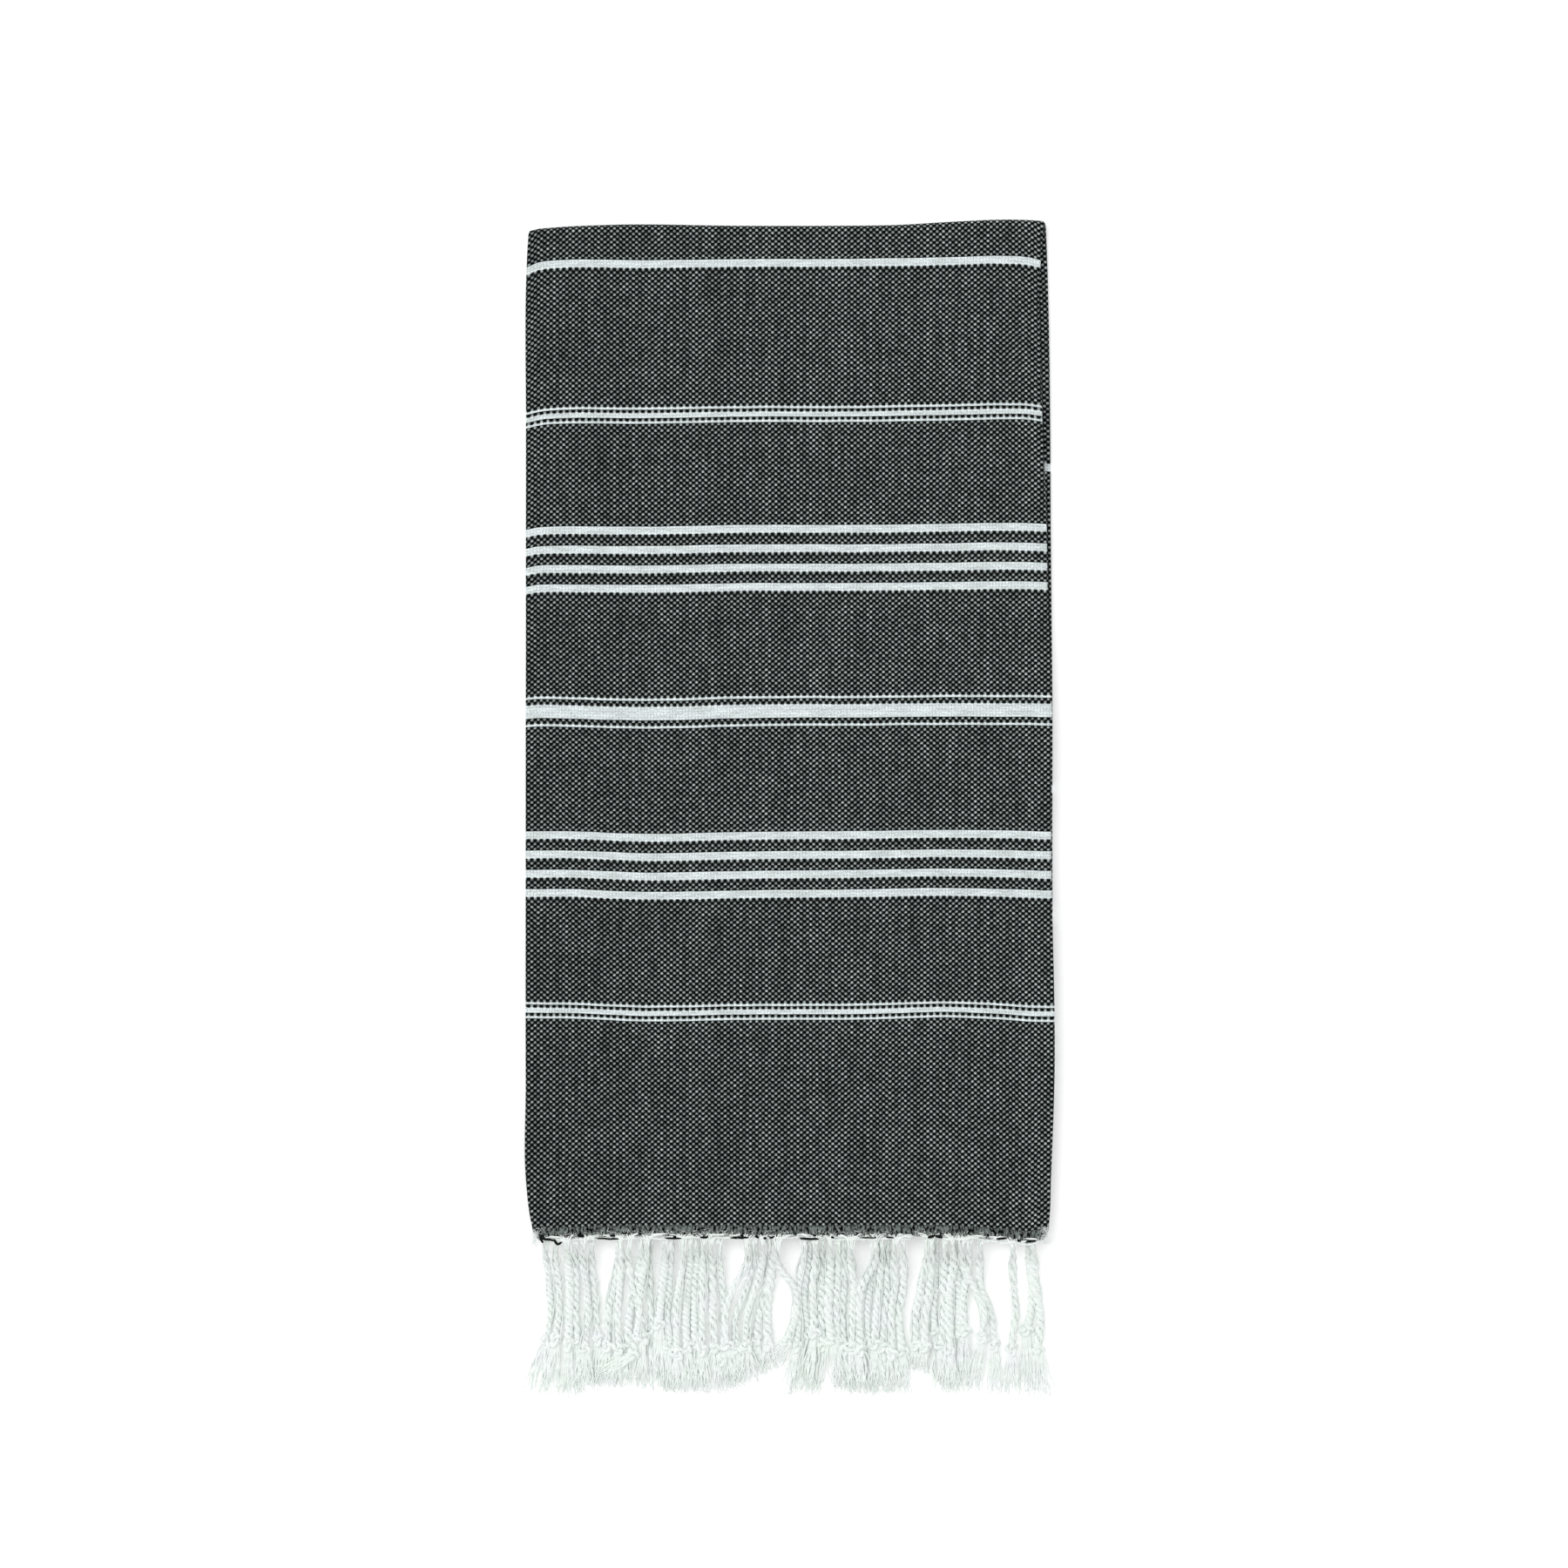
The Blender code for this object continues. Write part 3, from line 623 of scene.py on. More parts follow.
# For each cord: the layer it comes from (2 the front, 1 the left third, 0 the right third), its place
# across at the hem, at three levels, at its knot and at its tip, and how far down knot and tip are.
CORD_COLUMNS = ("layer", "hem", "upper", "middle", "lower", "knot", "knot_down", "tip", "tip_down")
CORD_ROWS = (
    (0, -156.8, -154.0, -152.4, -151.8, -155.1, 67.7, -161.2, 97.4),
    (1, -149.1, -148.0, -146.3, -146.3, -148.5, 66.0, -152.4, 99.0),
    (2, -141.4, -140.2, -139.2, -139.7, -140.2, 68.8, -142.5, 100.7),
    (1, -135.9, -135.9, -135.3, -135.9, -134.2, 66.0, -133.7, 100.1),
    (2, -131.5, -130.9, -128.7, -128.2, -129.8, 71.5, -131.5, 93.5),
    (0, -124.9, -125.4, -124.3, -123.2, -121.6, 66.0, -123.8, 94.6),
    (1, -109.5, -108.9, -111.7, -115.0, -115.5, 70.4, -119.4, 95.7),
    (2, -105.6, -106.7, -107.8, -108.9, -108.4, 71.5, -110.6, 94.6),
    (2, -102.9, -101.8, -99.6, -94.6, -93.0, 64.9, -94.6, 93.5),
    (1, -92.4, -94.6, -97.4, -101.8, -102.3, 68.8, -105.1, 93.5),
    (2, -88.6, -91.3, -94.6, -95.2, -99.6, 75.4, -124.9, 86.9),
    (0, -86.4, -89.1, -89.1, -88.0, -88.0, 59.4, -87.5, 97.4),
    (1, -79.8, -79.2, -80.9, -82.5, -83.1, 56.1, -82.5, 96.8),
    (0, -72.1, -75.4, -76.5, -77.6, -76.5, 70.4, -76.5, 97.4),
    (2, -66.6, -67.7, -70.4, -72.1, -71.5, 74.8, -71.0, 97.4),
    (1, -62.2, -63.3, -64.9, -66.0, -65.5, 71.5, -64.4, 97.4),
    (0, -57.8, -58.9, -60.5, -60.5, -60.0, 67.7, -60.5, 97.4),
    (2, -54.5, -55.0, -55.6, -55.6, -55.6, 72.6, -55.6, 97.4),
    (1, -50.1, -50.1, -49.0, -49.0, -47.9, 71.0, -47.9, 97.9),
    (0, -45.7, -44.6, -42.9, -41.8, -42.4, 78.1, -40.7, 97.4),
    (2, -24.8, -27.5, -35.8, -40.7, -40.2, 68.8, -35.2, 93.5),
    (1, -20.4, -22.6, -27.5, -33.6, -34.1, 72.6, -31.4, 93.0),
    (2, -17.1, -17.6, -21.5, -27.0, -27.5, 70.4, -24.8, 91.3),
    (0, -13.8, -12.7, -14.9, -19.2, -21.5, 66.0, -19.2, 85.8),
    (2, -11.6, -8.2, 2.2, 3.9, -2.2, 67.1, -11.6, 77.6),
    (1, -9.9, -11.0, -12.7, -14.3, -13.8, 69.3, -12.7, 83.6),
    (1, 11.6, 8.2, 5.5, 5.5, 4.4, 70.4, -1.7, 97.9),
    (0, 13.8, 11.6, 9.4, 9.9, 12.7, 63.8, 3.9, 97.9),
    (2, 17.1, 16.0, 14.3, 14.9, 15.4, 61.1, 9.9, 97.9),
    (0, 20.4, 20.4, 19.8, 19.8, 20.4, 70.4, 15.4, 97.9),
    (2, 24.2, 25.3, 24.8, 24.2, 26.4, 66.0, 30.8, 93.5),
    (1, 29.2, 30.3, 29.7, 29.2, 30.8, 69.3, 34.1, 97.4),
    (0, 32.5, 34.1, 34.1, 33.0, 34.7, 72.1, 39.1, 97.9),
    (2, 35.8, 38.5, 40.2, 39.6, 39.1, 71.0, 43.5, 97.9),
    (2, 55.6, 53.4, 45.1, 43.5, 44.6, 72.6, 46.8, 97.9),
    (0, 56.7, 55.0, 50.6, 49.0, 49.5, 67.7, 51.7, 97.9),
    (1, 59.4, 57.8, 56.1, 54.5, 53.4, 68.8, 56.7, 97.9),
    (0, 62.7, 61.6, 61.6, 60.0, 58.3, 71.0, 61.6, 97.9),
    (2, 66.6, 65.5, 66.0, 64.4, 64.4, 74.8, 66.6, 96.8),
    (1, 69.9, 71.5, 71.5, 68.8, 71.0, 72.6, 71.0, 97.9),
    (1, 88.6, 86.4, 83.1, 79.8, 79.2, 69.3, 77.0, 83.1),
    (2, 90.8, 89.1, 88.0, 85.8, 85.2, 70.4, 84.2, 84.2),
    (0, 94.1, 91.9, 91.3, 90.8, 91.9, 60.5, 93.5, 94.1),
    (1, 98.5, 97.9, 97.4, 97.4, 95.7, 69.3, 97.9, 97.4),
    (2, 102.3, 103.4, 101.2, 100.7, 101.2, 72.1, 102.9, 97.4),
    (0, 105.6, 105.6, 106.2, 106.7, 107.3, 63.8, 107.3, 96.8),
    (2, 108.4, 108.4, 116.6, 123.2, 121.6, 64.4, 116.6, 96.3),
    (1, 114.4, 112.8, 110.6, 109.5, 111.1, 60.5, 111.1, 96.8),
    (1, 122.1, 119.4, 121.0, 127.1, 129.2, 69.9, 130.9, 99.0),
    (2, 141.4, 140.8, 141.4, 142.5, 140.2, 72.1, 140.8, 99.0),
    (0, 149.1, 151.2, 153.5, 152.4, 149.6, 60.5, 151.2, 100.7),
    (1, 154.6, 154.0, 155.7, 158.4, 157.3, 71.5, 160.6, 101.2),
)

# The levels of the table, and how a cord falls from its own layer to the floor: how far below the hem,
# and what share of the way down. A cord of a higher layer comes to rest a little higher.
LEVELS_DOWN = (0.0, 16.5 * MM, 33.0 * MM, 49.5 * MM)
REST_Z = 3.1 * MM
LAYER_LIFT = 1.3 * MM
FALL_DOWN = (0.0, 9.0 * MM, 18.0 * MM, 29.0 * MM, 40.0 * MM, 52.0 * MM)
FALL_SHARE = (0.0, 0.06, 0.34, 0.76, 0.97, 1.0)
TWIST_LENGTH = 9.0 * MM
CORDS = len(CORD_ROWS)

cord = dict(zip(CORD_COLUMNS, np.array(CORD_ROWS).T))
cord = {name: values if name == "layer" else values * MM for name, values in cord.items()}
chance = np.random.default_rng(11)


def waves(fewest, most, many, t):
    """Waves along t, sin(2 pi (n t + start)), where chance gives each its count n and its start."""
    counts = chance.uniform(fewest, most, many)
    return np.sin(2 * math.pi * (counts * t + chance.uniform(0, 1, many)))


def tubes(name, paths, radii, sides):
    """Tubes about paths, (..., rings, 3): each ring is its radius times (cos a) side + (sin a) up,
    where side lies level and across the path, and up is square to both. Flat: turn, and length along."""
    radii = np.broadcast_to(radii, paths.shape[:-1]).reshape(-1, paths.shape[-2])
    paths = paths.reshape(-1, *paths.shape[-2:])
    ahead = np.gradient(paths, axis=1)
    ahead /= np.linalg.norm(ahead, axis=2, keepdims=True) + 1e-12
    side = np.cross(np.array([0.0, 0.0, 1.0]), ahead)
    side /= np.linalg.norm(side, axis=2, keepdims=True) + 1e-12
    up = np.cross(ahead, side)
    angle = 2 * math.pi * np.arange(sides)[:, None] / sides
    ring = np.cos(angle) * side[:, :, None] + np.sin(angle) * up[:, :, None]
    points = paths[:, :, None] + radii[:, :, None, None] * ring
    steps = np.linalg.norm(np.diff(paths, axis=1), axis=2)
    along = np.concatenate([np.zeros((len(paths), 1)), np.cumsum(steps, axis=1)], axis=1)
    turn = np.broadcast_to(np.arange(sides + 1) / sides, along.shape + (sides + 1,))
    flat = np.stack([turn, np.broadcast_to(along[:, :, None], turn.shape)], axis=3)
    return mesh_piece(name, points, flat, round_tube=True)


def two_plies(middle, gathered, ply_radius):
    """Two plies a cord, each a helix about the cord's middle, (cords, rings, 3), that tightens and
    loosens along it: middle + apart x (cos a, 0, 0.7 sin a), a growing with the length."""
    cords, rings = middle.shape[:2]
    each = (cords, 1)
    length = np.linalg.norm(middle[:, -1] - middle[:, 0], axis=1)[:, None] * np.linspace(0, 1, rings)
    loosening = np.sin(2 * math.pi * (length / (34 * MM) + chance.uniform(0, 1, each)))
    thickness = chance.uniform(0.85, 1.15, each)
    start = chance.uniform(0, 2 * math.pi, each)
    turned = 2 * math.pi * length / (TWIST_LENGTH * chance.uniform(0.75, 1.5, each)) + 0.9 * loosening
    apart = 0.93 * ply_radius * (0.3 + 0.7 * gathered) * thickness * (1 + 0.12 * loosening)
    paths, radii = [], []
    for half in (0.0, math.pi):
        angle = start + half - turned
        offset = [np.cos(angle) * apart, 0 * angle, np.sin(angle) * apart * 0.7]
        paths.append(middle + np.stack(offset, axis=2))
        lumps = 1 + 0.08 * np.sin(length * 1900.0 + start * 3 + half) * np.sin(length * 530.0 + half)
        radii.append(ply_radius * (0.3 + 0.7 * gathered) * thickness * lumps)
    return np.concatenate(paths), np.concatenate(radii)


def overhand_knots(places, size):
    """A knot at each place, (knots, 3): the curve (sin t + 2 sin 2t, cos t - 2 cos 2t, -0.9 sin 3t) times
    size, closed on itself, pulled a little longer or wider and turned on each."""
    many = (len(places), 1)
    t = np.linspace(0.0, 2 * math.pi, 29)[None, :]
    x = (np.sin(t) + 2 * np.sin(2 * t)) * size * chance.uniform(0.75, 1.1, many)
    y = (np.cos(t) - 2 * np.cos(2 * t)) * size * chance.uniform(0.9, 1.35, many)
    z = -0.9 * np.sin(3 * t) * size * np.ones(many)
    spin = chance.uniform(0, 2 * math.pi, many)
    curve = np.stack([x * np.cos(spin) - y * np.sin(spin), x * np.sin(spin) + y * np.cos(spin), z], axis=2)
    return places[:, None] + curve


def frayed_tails(knots, tips, threads, rings, spread):
    """Crimped threads from each knot to about its tip: the straight line between, plus a fan that opens
    as t to a power below 1, a bulge, a drift as t squared and a small wave, all across it, and a slow
    rise and fall. Each ends at a length of its own."""
    many = (len(knots), threads, 1)
    t = np.linspace(0.0, 1.0, rings)[None, None, :] * (1 - np.abs(chance.normal(0, 0.14, many)))
    knots, tips = knots[:, None, None], tips[:, None, None]
    side = np.cross(tips - knots, np.array([0.0, 0.0, 1.0]))
    side /= np.linalg.norm(side, axis=3, keepdims=True)
    fan = np.linspace(-1, 1, threads)[None, :, None] + chance.normal(0, 0.2, many)
    opened = spread * chance.uniform(0.55, 1.3, (len(knots), 1, 1))
    off = fan * (1.2 * MM + (opened - 1.2 * MM) * t ** chance.uniform(0.45, 0.9, many))
    off = off + chance.normal(0, 0.8 * MM, many) * np.sin(math.pi * t)
    off = off + chance.normal(0, 0.3 * spread, many) * t ** 2
    off = off + chance.uniform(0.4, 1.2, many) * MM * t * waves(1.5, 4.0, many, t)
    paths = knots + (tips - knots) * t[..., None] + side * off[..., None]
    low = chance.uniform(-1.0, 1.1, many) * MM
    lift = 0.4 * MM * np.sin(2 * math.pi * (3 * t + chance.uniform(0, 1, many)))
    paths[..., 2] = np.maximum(paths[..., 2] + t * low + lift, 0.9 * MM)
    radii = chance.uniform(0.5, 0.85, many) * MM * (1 - 0.8 * t ** 1.6)
    return paths, radii


def layer_z(layer):
    """The height at which a layer's edge lies at the hem."""
    return GROUND_Z + HEIGHT_ROWS[0][1] * MM - (2 - layer) * PITCH


def cord_centre(down):
    """The middle of each cord at a distance below the hem, (cords, rings): its places across joined by
    the smooth curve, and its height falling from its own layer's to where it rests."""
    x = np.stack([
        smooth(
            down[i], (*LEVELS_DOWN, cord["knot_down"][i]),
            [cord[name][i] for name in ("hem", "upper", "middle", "lower", "knot")],
        )
        for i in range(CORDS)
    ])
    layer = cord["layer"][:, None]
    fallen = smooth(down, FALL_DOWN, FALL_SHARE)
    rest_z = REST_Z + LAYER_LIFT * layer
    return np.stack([x, HEM_Y - down, layer_z(layer) + (rest_z - layer_z(layer)) * fallen], axis=2)


# The cords, from just below the hem to the knots: loose bundles that gather as they twist.
CORD_START = 5.0 * MM
GATHER_LENGTH = 11.0 * MM
CORD_RINGS = 61
PLY_RADIUS = 1.5 * MM
share = np.linspace(0.0, 1.0, CORD_RINGS)[None, :]
down = CORD_START + (cord["knot_down"][:, None] - CORD_START) * share
middle = cord_centre(down)
gathered = smooth(down - CORD_START, (0.0, GATHER_LENGTH), (0.0, 1.0))
fringe_cords = tubes("fringe_cords", *two_plies(middle, gathered, PLY_RADIUS), 8)

# Stray threads: single warp ends that have come out of the twist. They run beside their cord in slow
# waves with a finer crimp, on every second ring of the cord's own middle.
STRAYS = 7
STRAY_RADIUS = 0.42 * MM
STRAY_REST_Z = 0.6 * MM
many = (STRAYS, CORDS, 1)
t = share[:, ::2]
beside = [
    chance.uniform(0.8, 3.4, many) * MM * waves(0.4, 1.3, many, t)
    + chance.uniform(0.1, 0.4, many) * MM * waves(3.0, 7.0, many, t)
    for _ in range(2)
]
strays = middle[None, :, ::2] + gathered[:, ::2, None] * np.stack(
    [beside[0], 0 * beside[0], 0.6 * beside[1] + 0.4 * MM], axis=3
)
strays[..., 2] = np.maximum(strays[..., 2], STRAY_REST_Z)
fringe_strays = tubes("fringe_strays", strays, STRAY_RADIUS, 4)

# The knots: the whole cord tied once in an overhand knot, at its lower end.
KNOT_SIZE = 1.2 * MM
KNOT_RADIUS = 1.35 * MM
KNOT_REST_Z = 2.7 * MM
knot_places = middle[:, -1].copy()
knot_places[:, 2] = np.maximum(knot_places[:, 2], KNOT_REST_Z)
fringe_knots = tubes("fringe_knots", overhand_knots(knot_places, KNOT_SIZE), KNOT_RADIUS, 8)

# The tails: below its knot each cord is left untwisted, and frays into crimped threads that reach a
# little past its tip.
TAIL_THREADS = 17
TAIL_RINGS = 13
TAIL_SPREAD = 5.6 * MM
PAST_TIP = 4.0 * MM
tips_z = 1.9 * MM + 0.4 * MM * cord["layer"]
tips = np.stack([cord["tip"], HEM_Y - cord["tip_down"] - PAST_TIP, tips_z], axis=1)
tails = frayed_tails(knot_places, tips, TAIL_THREADS, TAIL_RINGS, TAIL_SPREAD)
fringe_tails = tubes("fringe_tails", *tails, 4)

# Fuzz: fibre ends that stand off the cords all along them, each a fine curved hair that starts from
# one ring of the cord's middle.
FUZZ_HAIRS = 30
FUZZ_RADIUS = 0.11 * MM
many = (FUZZ_HAIRS, CORDS, 1)
t = np.linspace(0.0, 1.0, 5)[None, None, :]
rings = chance.integers(4, CORD_RINGS - 3, many)[..., None]
start = np.take_along_axis(middle[None], rings, axis=2)
turn = chance.uniform(0, 2 * math.pi, many) + chance.normal(0, 1.2, many) * t
length = chance.uniform(2.0, 6.0, many) * MM * t
rise = (0.6 + chance.uniform(-0.6, 1.2, many) * np.sin(math.pi * t)) * MM
fuzz = start + np.stack([length * np.cos(turn), length * np.sin(turn), rise], axis=3)
fuzz[..., 2] = np.maximum(fuzz[..., 2], 0.3 * MM)
fringe_fuzz = tubes("fringe_fuzz", fuzz, FUZZ_RADIUS, 3)

# The warp ends between hem and cords: each leaves the cloth at its own place in its own layer, runs
# along the edge towards the nearest cord of that layer, and turns down into it.
WARP_PITCH = 1.5 * MM
FIRST_ROOT = -157.0 * MM
LAST_ROOT = 158.0 * MM
ROOT_RADIUS = 0.45 * MM
t = np.linspace(0.0, 1.0, 12)[None, :]
roots, root_radii = [], []
for layer in (0, 1, 2):
    start = np.arange(FIRST_ROOT, LAST_ROOT, WARP_PITCH)[:, None]
    start = start + chance.normal(0, 0.3 * MM, start.shape)
    own = np.flatnonzero(cord["layer"] == layer)
    nearest = own[np.argmin(np.abs(start - cord["hem"][own]), axis=1)]
    end_down = np.broadcast_to(chance.uniform(10.0, 21.0, len(start)) * MM, (CORDS, len(start)))
    end = cord_centre(end_down)[nearest, np.arange(len(start))][:, None, :]
    end = end + chance.normal(0, 0.6 * MM, (len(start), 1, 3))
    away = np.abs(start - end[:, :, 0])
    first_y = hem_y(start) + chance.uniform(0.1, 1.8, start.shape) * MM
    first_z = layer_z(layer) + 0.4 * MM
    x = start + (end[:, :, 0] - start) * (1 - (1 - t) ** 2.2)
    y = first_y + (end[:, :, 1] - first_y) * t ** (1.2 + 0.14 * away / MM)
    z = first_z + (end[:, :, 2] - first_z) * t ** 1.6
    roots.append(np.stack([x, y, z], axis=2))
    root_radii.append(ROOT_RADIUS * chance.uniform(0.75, 1.2, start.shape) * (1 - 0.15 * t))
fringe_roots = tubes("fringe_roots", np.concatenate(roots), np.concatenate(root_radii), 5)

# Bare warp ends that lie along the very edge, in short overlapping runs that wave a little.
EDGE_RUNS = 46
EDGE_END = 158.5 * MM
many = (EDGE_RUNS, 1)
t = np.linspace(0.0, 1.0, 13)[None, :]
x = chance.uniform(-158.0, 150.0, many) * MM + chance.uniform(6.0, 22.0, many) * MM * t
x = np.minimum(x, EDGE_END)
waved = waves(0.5, 1.5, many, t)
y = hem_y(x) - chance.uniform(0.5, 2.2, many) * MM + chance.uniform(0.2, 0.7, many) * MM * waved
z = layer_z(2) + 0.3 * MM - 1.2 * MM * (2 * t - 1) ** 6 + 0 * x
edge_radii = chance.uniform(0.3, 0.5, many) * MM + 0 * t
fringe_edge = tubes("fringe_edge", np.stack([x, y, z], axis=2), edge_radii, 5)

# Short pale hairs off the cut warp ends: over the last picks, and out past both corners.
HAIRS = 760
CORNER_HAIRS = 110
HAIR_RADIUS = 0.13 * MM
many = (HAIRS, 1)
corners = {-1: slice(0, CORNER_HAIRS), 1: slice(CORNER_HAIRS, 2 * CORNER_HAIRS)}
t = np.linspace(0.0, 1.0, 5)[None, :]
x = chance.uniform(-158.0, 159.5, many) * MM
y = hem_y(x) + chance.uniform(-0.6, 4.2, many) * MM
for side, these in corners.items():
    x[these] = side * chance.normal(161.0, 1.3, x[these].shape) * MM
    y[these] = hem_y(x[these]) + chance.uniform(-3.0, 8.0, x[these].shape) * MM
length = chance.uniform(1.2, 4.0, many) * MM
turn = chance.normal(-math.pi / 2, 0.8, many) + 0.7 * chance.normal(0, 1, many) * t
z = layer_z(2) + THICKNESS / 2 + 0.1 * MM + chance.uniform(0.0, 0.5, many) * MM * np.sin(math.pi * t)
hairs = np.stack([x + length * t * np.cos(turn), y + length * t * np.sin(turn), z], axis=2)
hair_radii = HAIR_RADIUS * chance.uniform(0.6, 1.4, many) * (1 - 0.5 * t)
fringe_hairs = tubes("fringe_hairs", hairs, hair_radii, 3)

CORD_WHITE = (0.865, 0.91, 0.90)
LOOSE_WHITE = (0.91, 0.955, 0.945)
FAR_EDGE_Y = BOTTOM_FOLD_Y + TUCKED_LENGTH
STRANDS_IN_PLY = 3.0
LEAD_PER_METRE = 260.0
# Where the painted shadow next to the cloth's edges starts to fade, and where it is gone.
CLOTH_SHADOW_FADES = (2 * MM, 24 * MM)


def fringe_cotton(name, white, cloth_shadow_share):
    """Off-white cotton: each ply's threads wind round it as sin(2 pi (strands x turn + length x lead)), in
    painted shade and relief, under fine hairs. Painted shadow greys it next to the cloth's edges."""
    material, tree, shader = new_material(name, {"Roughness": 0.9, "Specular IOR Level": 0.1})
    split = node(tree, "SeparateXYZ", node(tree, "UVMap", uv_map="yarn").outputs[0])
    turn, length = split.outputs[0], split.outputs[1]
    lead = maths(tree, "MULTIPLY", length, LEAD_PER_METRE)
    strands = maths(tree, "MULTIPLY_ADD", turn, STRANDS_IN_PLY, lead)
    wound = maths(tree, "SINE", maths(tree, "MULTIPLY", strands, 2 * math.pi))
    yarn = node(tree, "CombineXYZ", strands, maths(tree, "MULTIPLY", length, 400.0)).outputs[0]
    hairs = node(tree, "Group", yarn, 3.0, 0.6, node_tree=cotton_fibre).outputs["Hair"]
    place = node(tree, "TexCoord").outputs["Object"]
    cast = noise_of(tree, place, 70.0)
    level = node(tree, "SeparateXYZ", place).outputs[1]
    from_cloth = maths(
        tree, "MINIMUM", distance(tree, level, HEM_Y), distance(tree, level, FAR_EDGE_Y)
    )
    # Painted shadow: the cotton is darker next to the cloth's edges, at the given share up to 2 mm away,
    # fading out by 24 mm.
    painted_cloth_shadow = ramp_of(tree, from_cloth, *CLOTH_SHADOW_FADES, cloth_shadow_share, 1.0)
    shade = maths(tree, "MULTIPLY_ADD", wound, 0.03, painted_cloth_shadow)
    shade = maths(tree, "MULTIPLY", shade, ramp_of(tree, hairs, 0.3, 0.7, 0.94, 1.05))
    tint = blend_of(
        tree, cast, (white[0] * 0.97, white[1] * 1.01, white[2] * 0.94, 1.0),
        (white[0] * 1.03, white[1], white[2] * 1.04, 1.0),
    )
    tree.links.new(shaded(tree, tint, shade), shader.inputs["Base Color"])
    add_relief(tree, shader, maths(tree, "MULTIPLY_ADD", hairs, 0.8, wound), 0.15, 0.2 * MM)
    return material


# The cords get painted shadow next to the cloth; the loose ends get none.
cord_cotton = fringe_cotton("fringe_cotton", CORD_WHITE, 0.8)
loose_cotton = fringe_cotton("loose_cotton", LOOSE_WHITE, 1.0)
twisted = [fringe_cords, fringe_strays, fringe_knots, fringe_fuzz]
untwisted = [fringe_tails, fringe_roots, fringe_edge, fringe_hairs]
near_fringe = twisted + untwisted
for piece in near_fringe:
    piece.data.materials.append(loose_cotton if piece in untwisted else cord_cotton)
    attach(piece, "root")
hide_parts("fringe_near")

# Loose picks: the last turns of black cotton weft have slipped out of the edge and show as short
# dark dashes on the white. Each runs from one place across to another, this far below the hem.
LOOSE_COLUMNS = ("from_x", "from_down", "to_x", "to_down", "radius")
LOOSE_ROWS = (
    (-158.2, 0.6, -155.8, -0.8, 0.90),
    (-157.9, 1.4, -147.5, 2.4, 0.75),
    (-157.6, 1.4, -155.9, 4.0, 0.75),
    (-149.0, 2.4, -146.6, 5.2, 0.85),
    (-146.6, 5.2, -144.2, 3.6, 0.70),
    (-134.5, -0.6, -129.8, -0.2, 0.90),
    (-123.6, 1.2, -107.5, 1.5, 0.60),
    (-113.8, -0.9, -110.4, -0.5, 0.80),
    (-79.2, 1.1, -68.2, 1.0, 0.60),
    (-73.7, 0.2, -72.0, 0.0, 0.70),
    (-56.6, 0.6, -51.7, 0.4, 0.75),
    (-37.9, 0.9, -25.9, 0.8, 0.70),
    (-31.5, -0.8, -29.5, -0.4, 0.70),
    (-21.9, -0.4, -20.0, 0.8, 0.90),
    (-16.5, 0.9, -15.2, 1.2, 0.80),
    (-13.2, 1.0, -9.9, 0.0, 0.70),
    (6.1, 1.3, 18.7, 1.6, 0.75),
    (14.6, -0.9, 16.0, -0.6, 0.70),
    (26.0, 0.4, 27.6, 0.7, 0.60),
    (42.9, 0.6, 55.6, 0.9, 0.45),
    (60.5, 0.4, 66.0, 1.0, 0.50),
    (87.0, 0.8, 91.4, -0.6, 0.90),
    (91.4, -0.6, 96.2, 0.9, 0.90),
    (129.8, 1.4, 137.0, 1.1, 0.75),
    (143.6, 2.2, 145.6, 2.9, 0.85),
    (148.5, 3.4, 155.2, 2.6, 0.70),
)
loose = dict(zip(LOOSE_COLUMNS, np.array(LOOSE_ROWS).T[:, :, None] * MM))
t = np.linspace(0.0, 1.0, 9)[None, :]
x = loose["from_x"] + (loose["to_x"] - loose["from_x"]) * t
y = HEM_Y - loose["from_down"] - (loose["to_down"] - loose["from_down"]) * t
y = y + chance.normal(0, 0.12 * MM, y.shape)
z = layer_z(2) + 1.0 * MM - 0.8 * MM * (2 * t - 1) ** 2 + 0 * x
pick_radii = loose["radius"] * (1 - 0.5 * (2 * t - 1) ** 4)
loose_picks = tubes("loose_picks", np.stack([x, y, z], axis=2), pick_radii, 6)
black_pick = new_material(
    "black_pick", {"Base Color": (0.006, 0.008, 0.008, 1.0), "Roughness": 0.95, "Specular IOR Level": 0.1}
)[0]
loose_picks.data.materials.append(black_pick)
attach(loose_picks, "root")

# The far fringe: the same cords at the cloth's other end, hidden between back and front. They run
# level away from the turned-in edge, side by side, each with its knot and its frayed tail.
FAR_CORDS = 52
FAR_SPACING = 5.9 * MM
FAR_LENGTH = 97.0 * MM
FAR_START = 0.5 * MM
FAR_KNOTS_ON = 66.0 * MM
FAR_REST_Z = GROUND_Z + 2 * PITCH + THICKNESS / 2 + 1.15 * MM
FAR_RADIUS = 0.62 * MM
FAR_KNOT_SIZE = 0.62 * MM
FAR_KNOT_RADIUS = 0.5 * MM
FAR_TAIL_THREADS = 7
FAR_TAIL_RINGS = 10
FAR_TAIL_SPREAD = 2.2 * MM

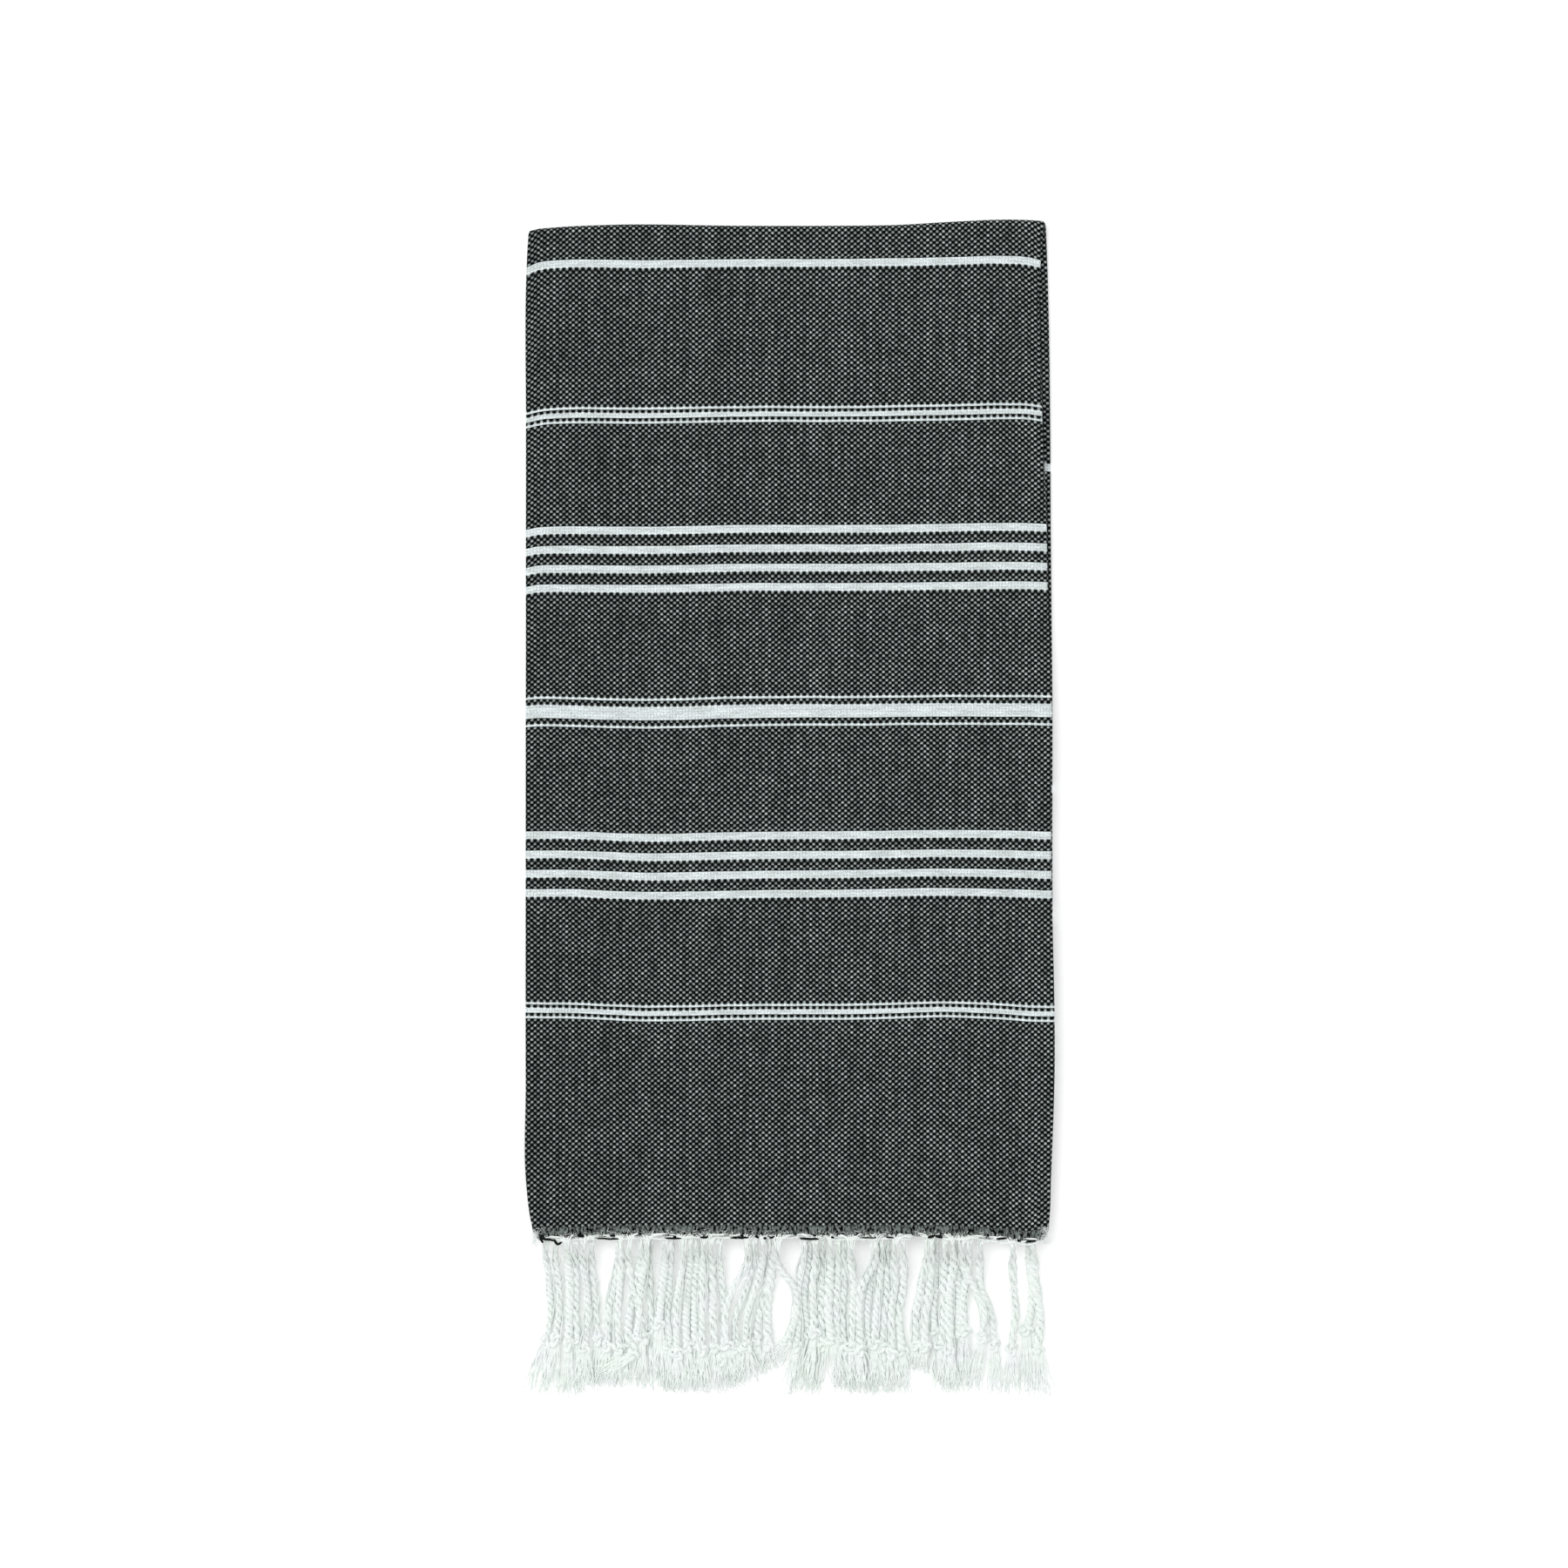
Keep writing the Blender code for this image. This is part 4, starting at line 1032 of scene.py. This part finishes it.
number = np.arange(FAR_CORDS)[:, None]
share = np.linspace(0.0, 1.0, 41)[None, :]
on = FAR_START + (FAR_KNOTS_ON - FAR_START) * share
far_x = (number - (FAR_CORDS - 1) / 2) * FAR_SPACING + 1.2 * MM * np.sin(2.4 * number + 20.0 * on)
far_edge_z = GROUND_Z + 2 * BOTTOM_FOLD_RADIUS - (number % 3) * PITCH
settled = smooth(on, (0.0, 16.0 * MM, 34.0 * MM), (0.0, 0.6, 1.0))
far_z = far_edge_z + (FAR_REST_Z - far_edge_z) * settled
far_middle = np.stack([far_x, FAR_EDGE_Y + on + 0 * far_x, far_z], axis=2)
far_plies = two_plies(far_middle, np.clip(on / (12 * MM), 0, 1) + 0 * far_x, FAR_RADIUS)
far_cords = tubes("far_cords", *far_plies, 6)
far_ends = far_middle[:, -1]
far_knots = overhand_knots(far_ends, FAR_KNOT_SIZE)
far_knots[..., 2] = FAR_REST_Z + (far_knots[..., 2] - FAR_REST_Z) * 0.6
far_knots = tubes("far_knots", far_knots, FAR_KNOT_RADIUS, 6)
far_tips = far_ends + np.array([0.0, FAR_LENGTH - FAR_KNOTS_ON, 0.0])
far_paths, far_radii = frayed_tails(
    far_ends, far_tips, FAR_TAIL_THREADS, FAR_TAIL_RINGS, FAR_TAIL_SPREAD
)
far_paths[..., 2] = FAR_REST_Z + (far_paths[..., 2] - FAR_REST_Z) * 0.4
far_tails = tubes("far_tails", far_paths, far_radii * 0.55, 4)
far_fringe = [far_cords, far_knots, far_tails]
for piece in far_fringe:
    piece.data.materials.append(cord_cotton)
    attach(piece, "root")
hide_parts("fringe_far")

# The floor, the light and the camera: a white light table seen from straight above, one large soft
# lamp at the upper left, and even white light from all round.
bpy.ops.mesh.primitive_plane_add(size=60.0, location=(0.0, 0.0, -0.0003))
floor = bpy.context.object
floor.name = "floor"
floor_white = new_material(
    "floor_white", {"Base Color": (0.94, 0.94, 0.94, 1.0), "Roughness": 0.9, "Emission Strength": 0.26}
)[0]
floor.data.materials.append(floor_white)

world = bpy.data.worlds.new("soft_studio")
bpy.context.scene.world = world
world.use_nodes = True
background = world.node_tree.nodes["Background"]
background.inputs["Color"].default_value = (1.0, 1.0, 1.0, 1.0)
# Seen past the floor, the backdrop is as white as the floor, though it lights the towel less.
seen = node(world.node_tree, "LightPath").outputs["Is Camera Ray"]
strength = node(world.node_tree, "MapRange", seen, 0.0, 1.0, 0.82, 1.0).outputs[0]
world.node_tree.links.new(strength, background.inputs["Strength"])

softbox = bpy.data.lights.new("softbox", "AREA")
softbox.size = 3.2
softbox.energy = 80.0
lamp = bpy.data.objects.new("softbox", softbox)
lamp.location = (-2.2, 1.4, 4.0)
lamp.rotation_euler = (math.radians(-20.0), math.radians(-29.0), 0.0)
bpy.context.scene.collection.objects.link(lamp)

camera_data = bpy.data.cameras.new("camera")
camera_data.lens = 100.0
camera = bpy.data.objects.new("camera", camera_data)
camera.location = (-0.00385, 0.0157, 2.762)
bpy.context.scene.collection.objects.link(camera)
bpy.context.scene.camera = camera
bpy.context.scene.view_settings.view_transform = "Standard"
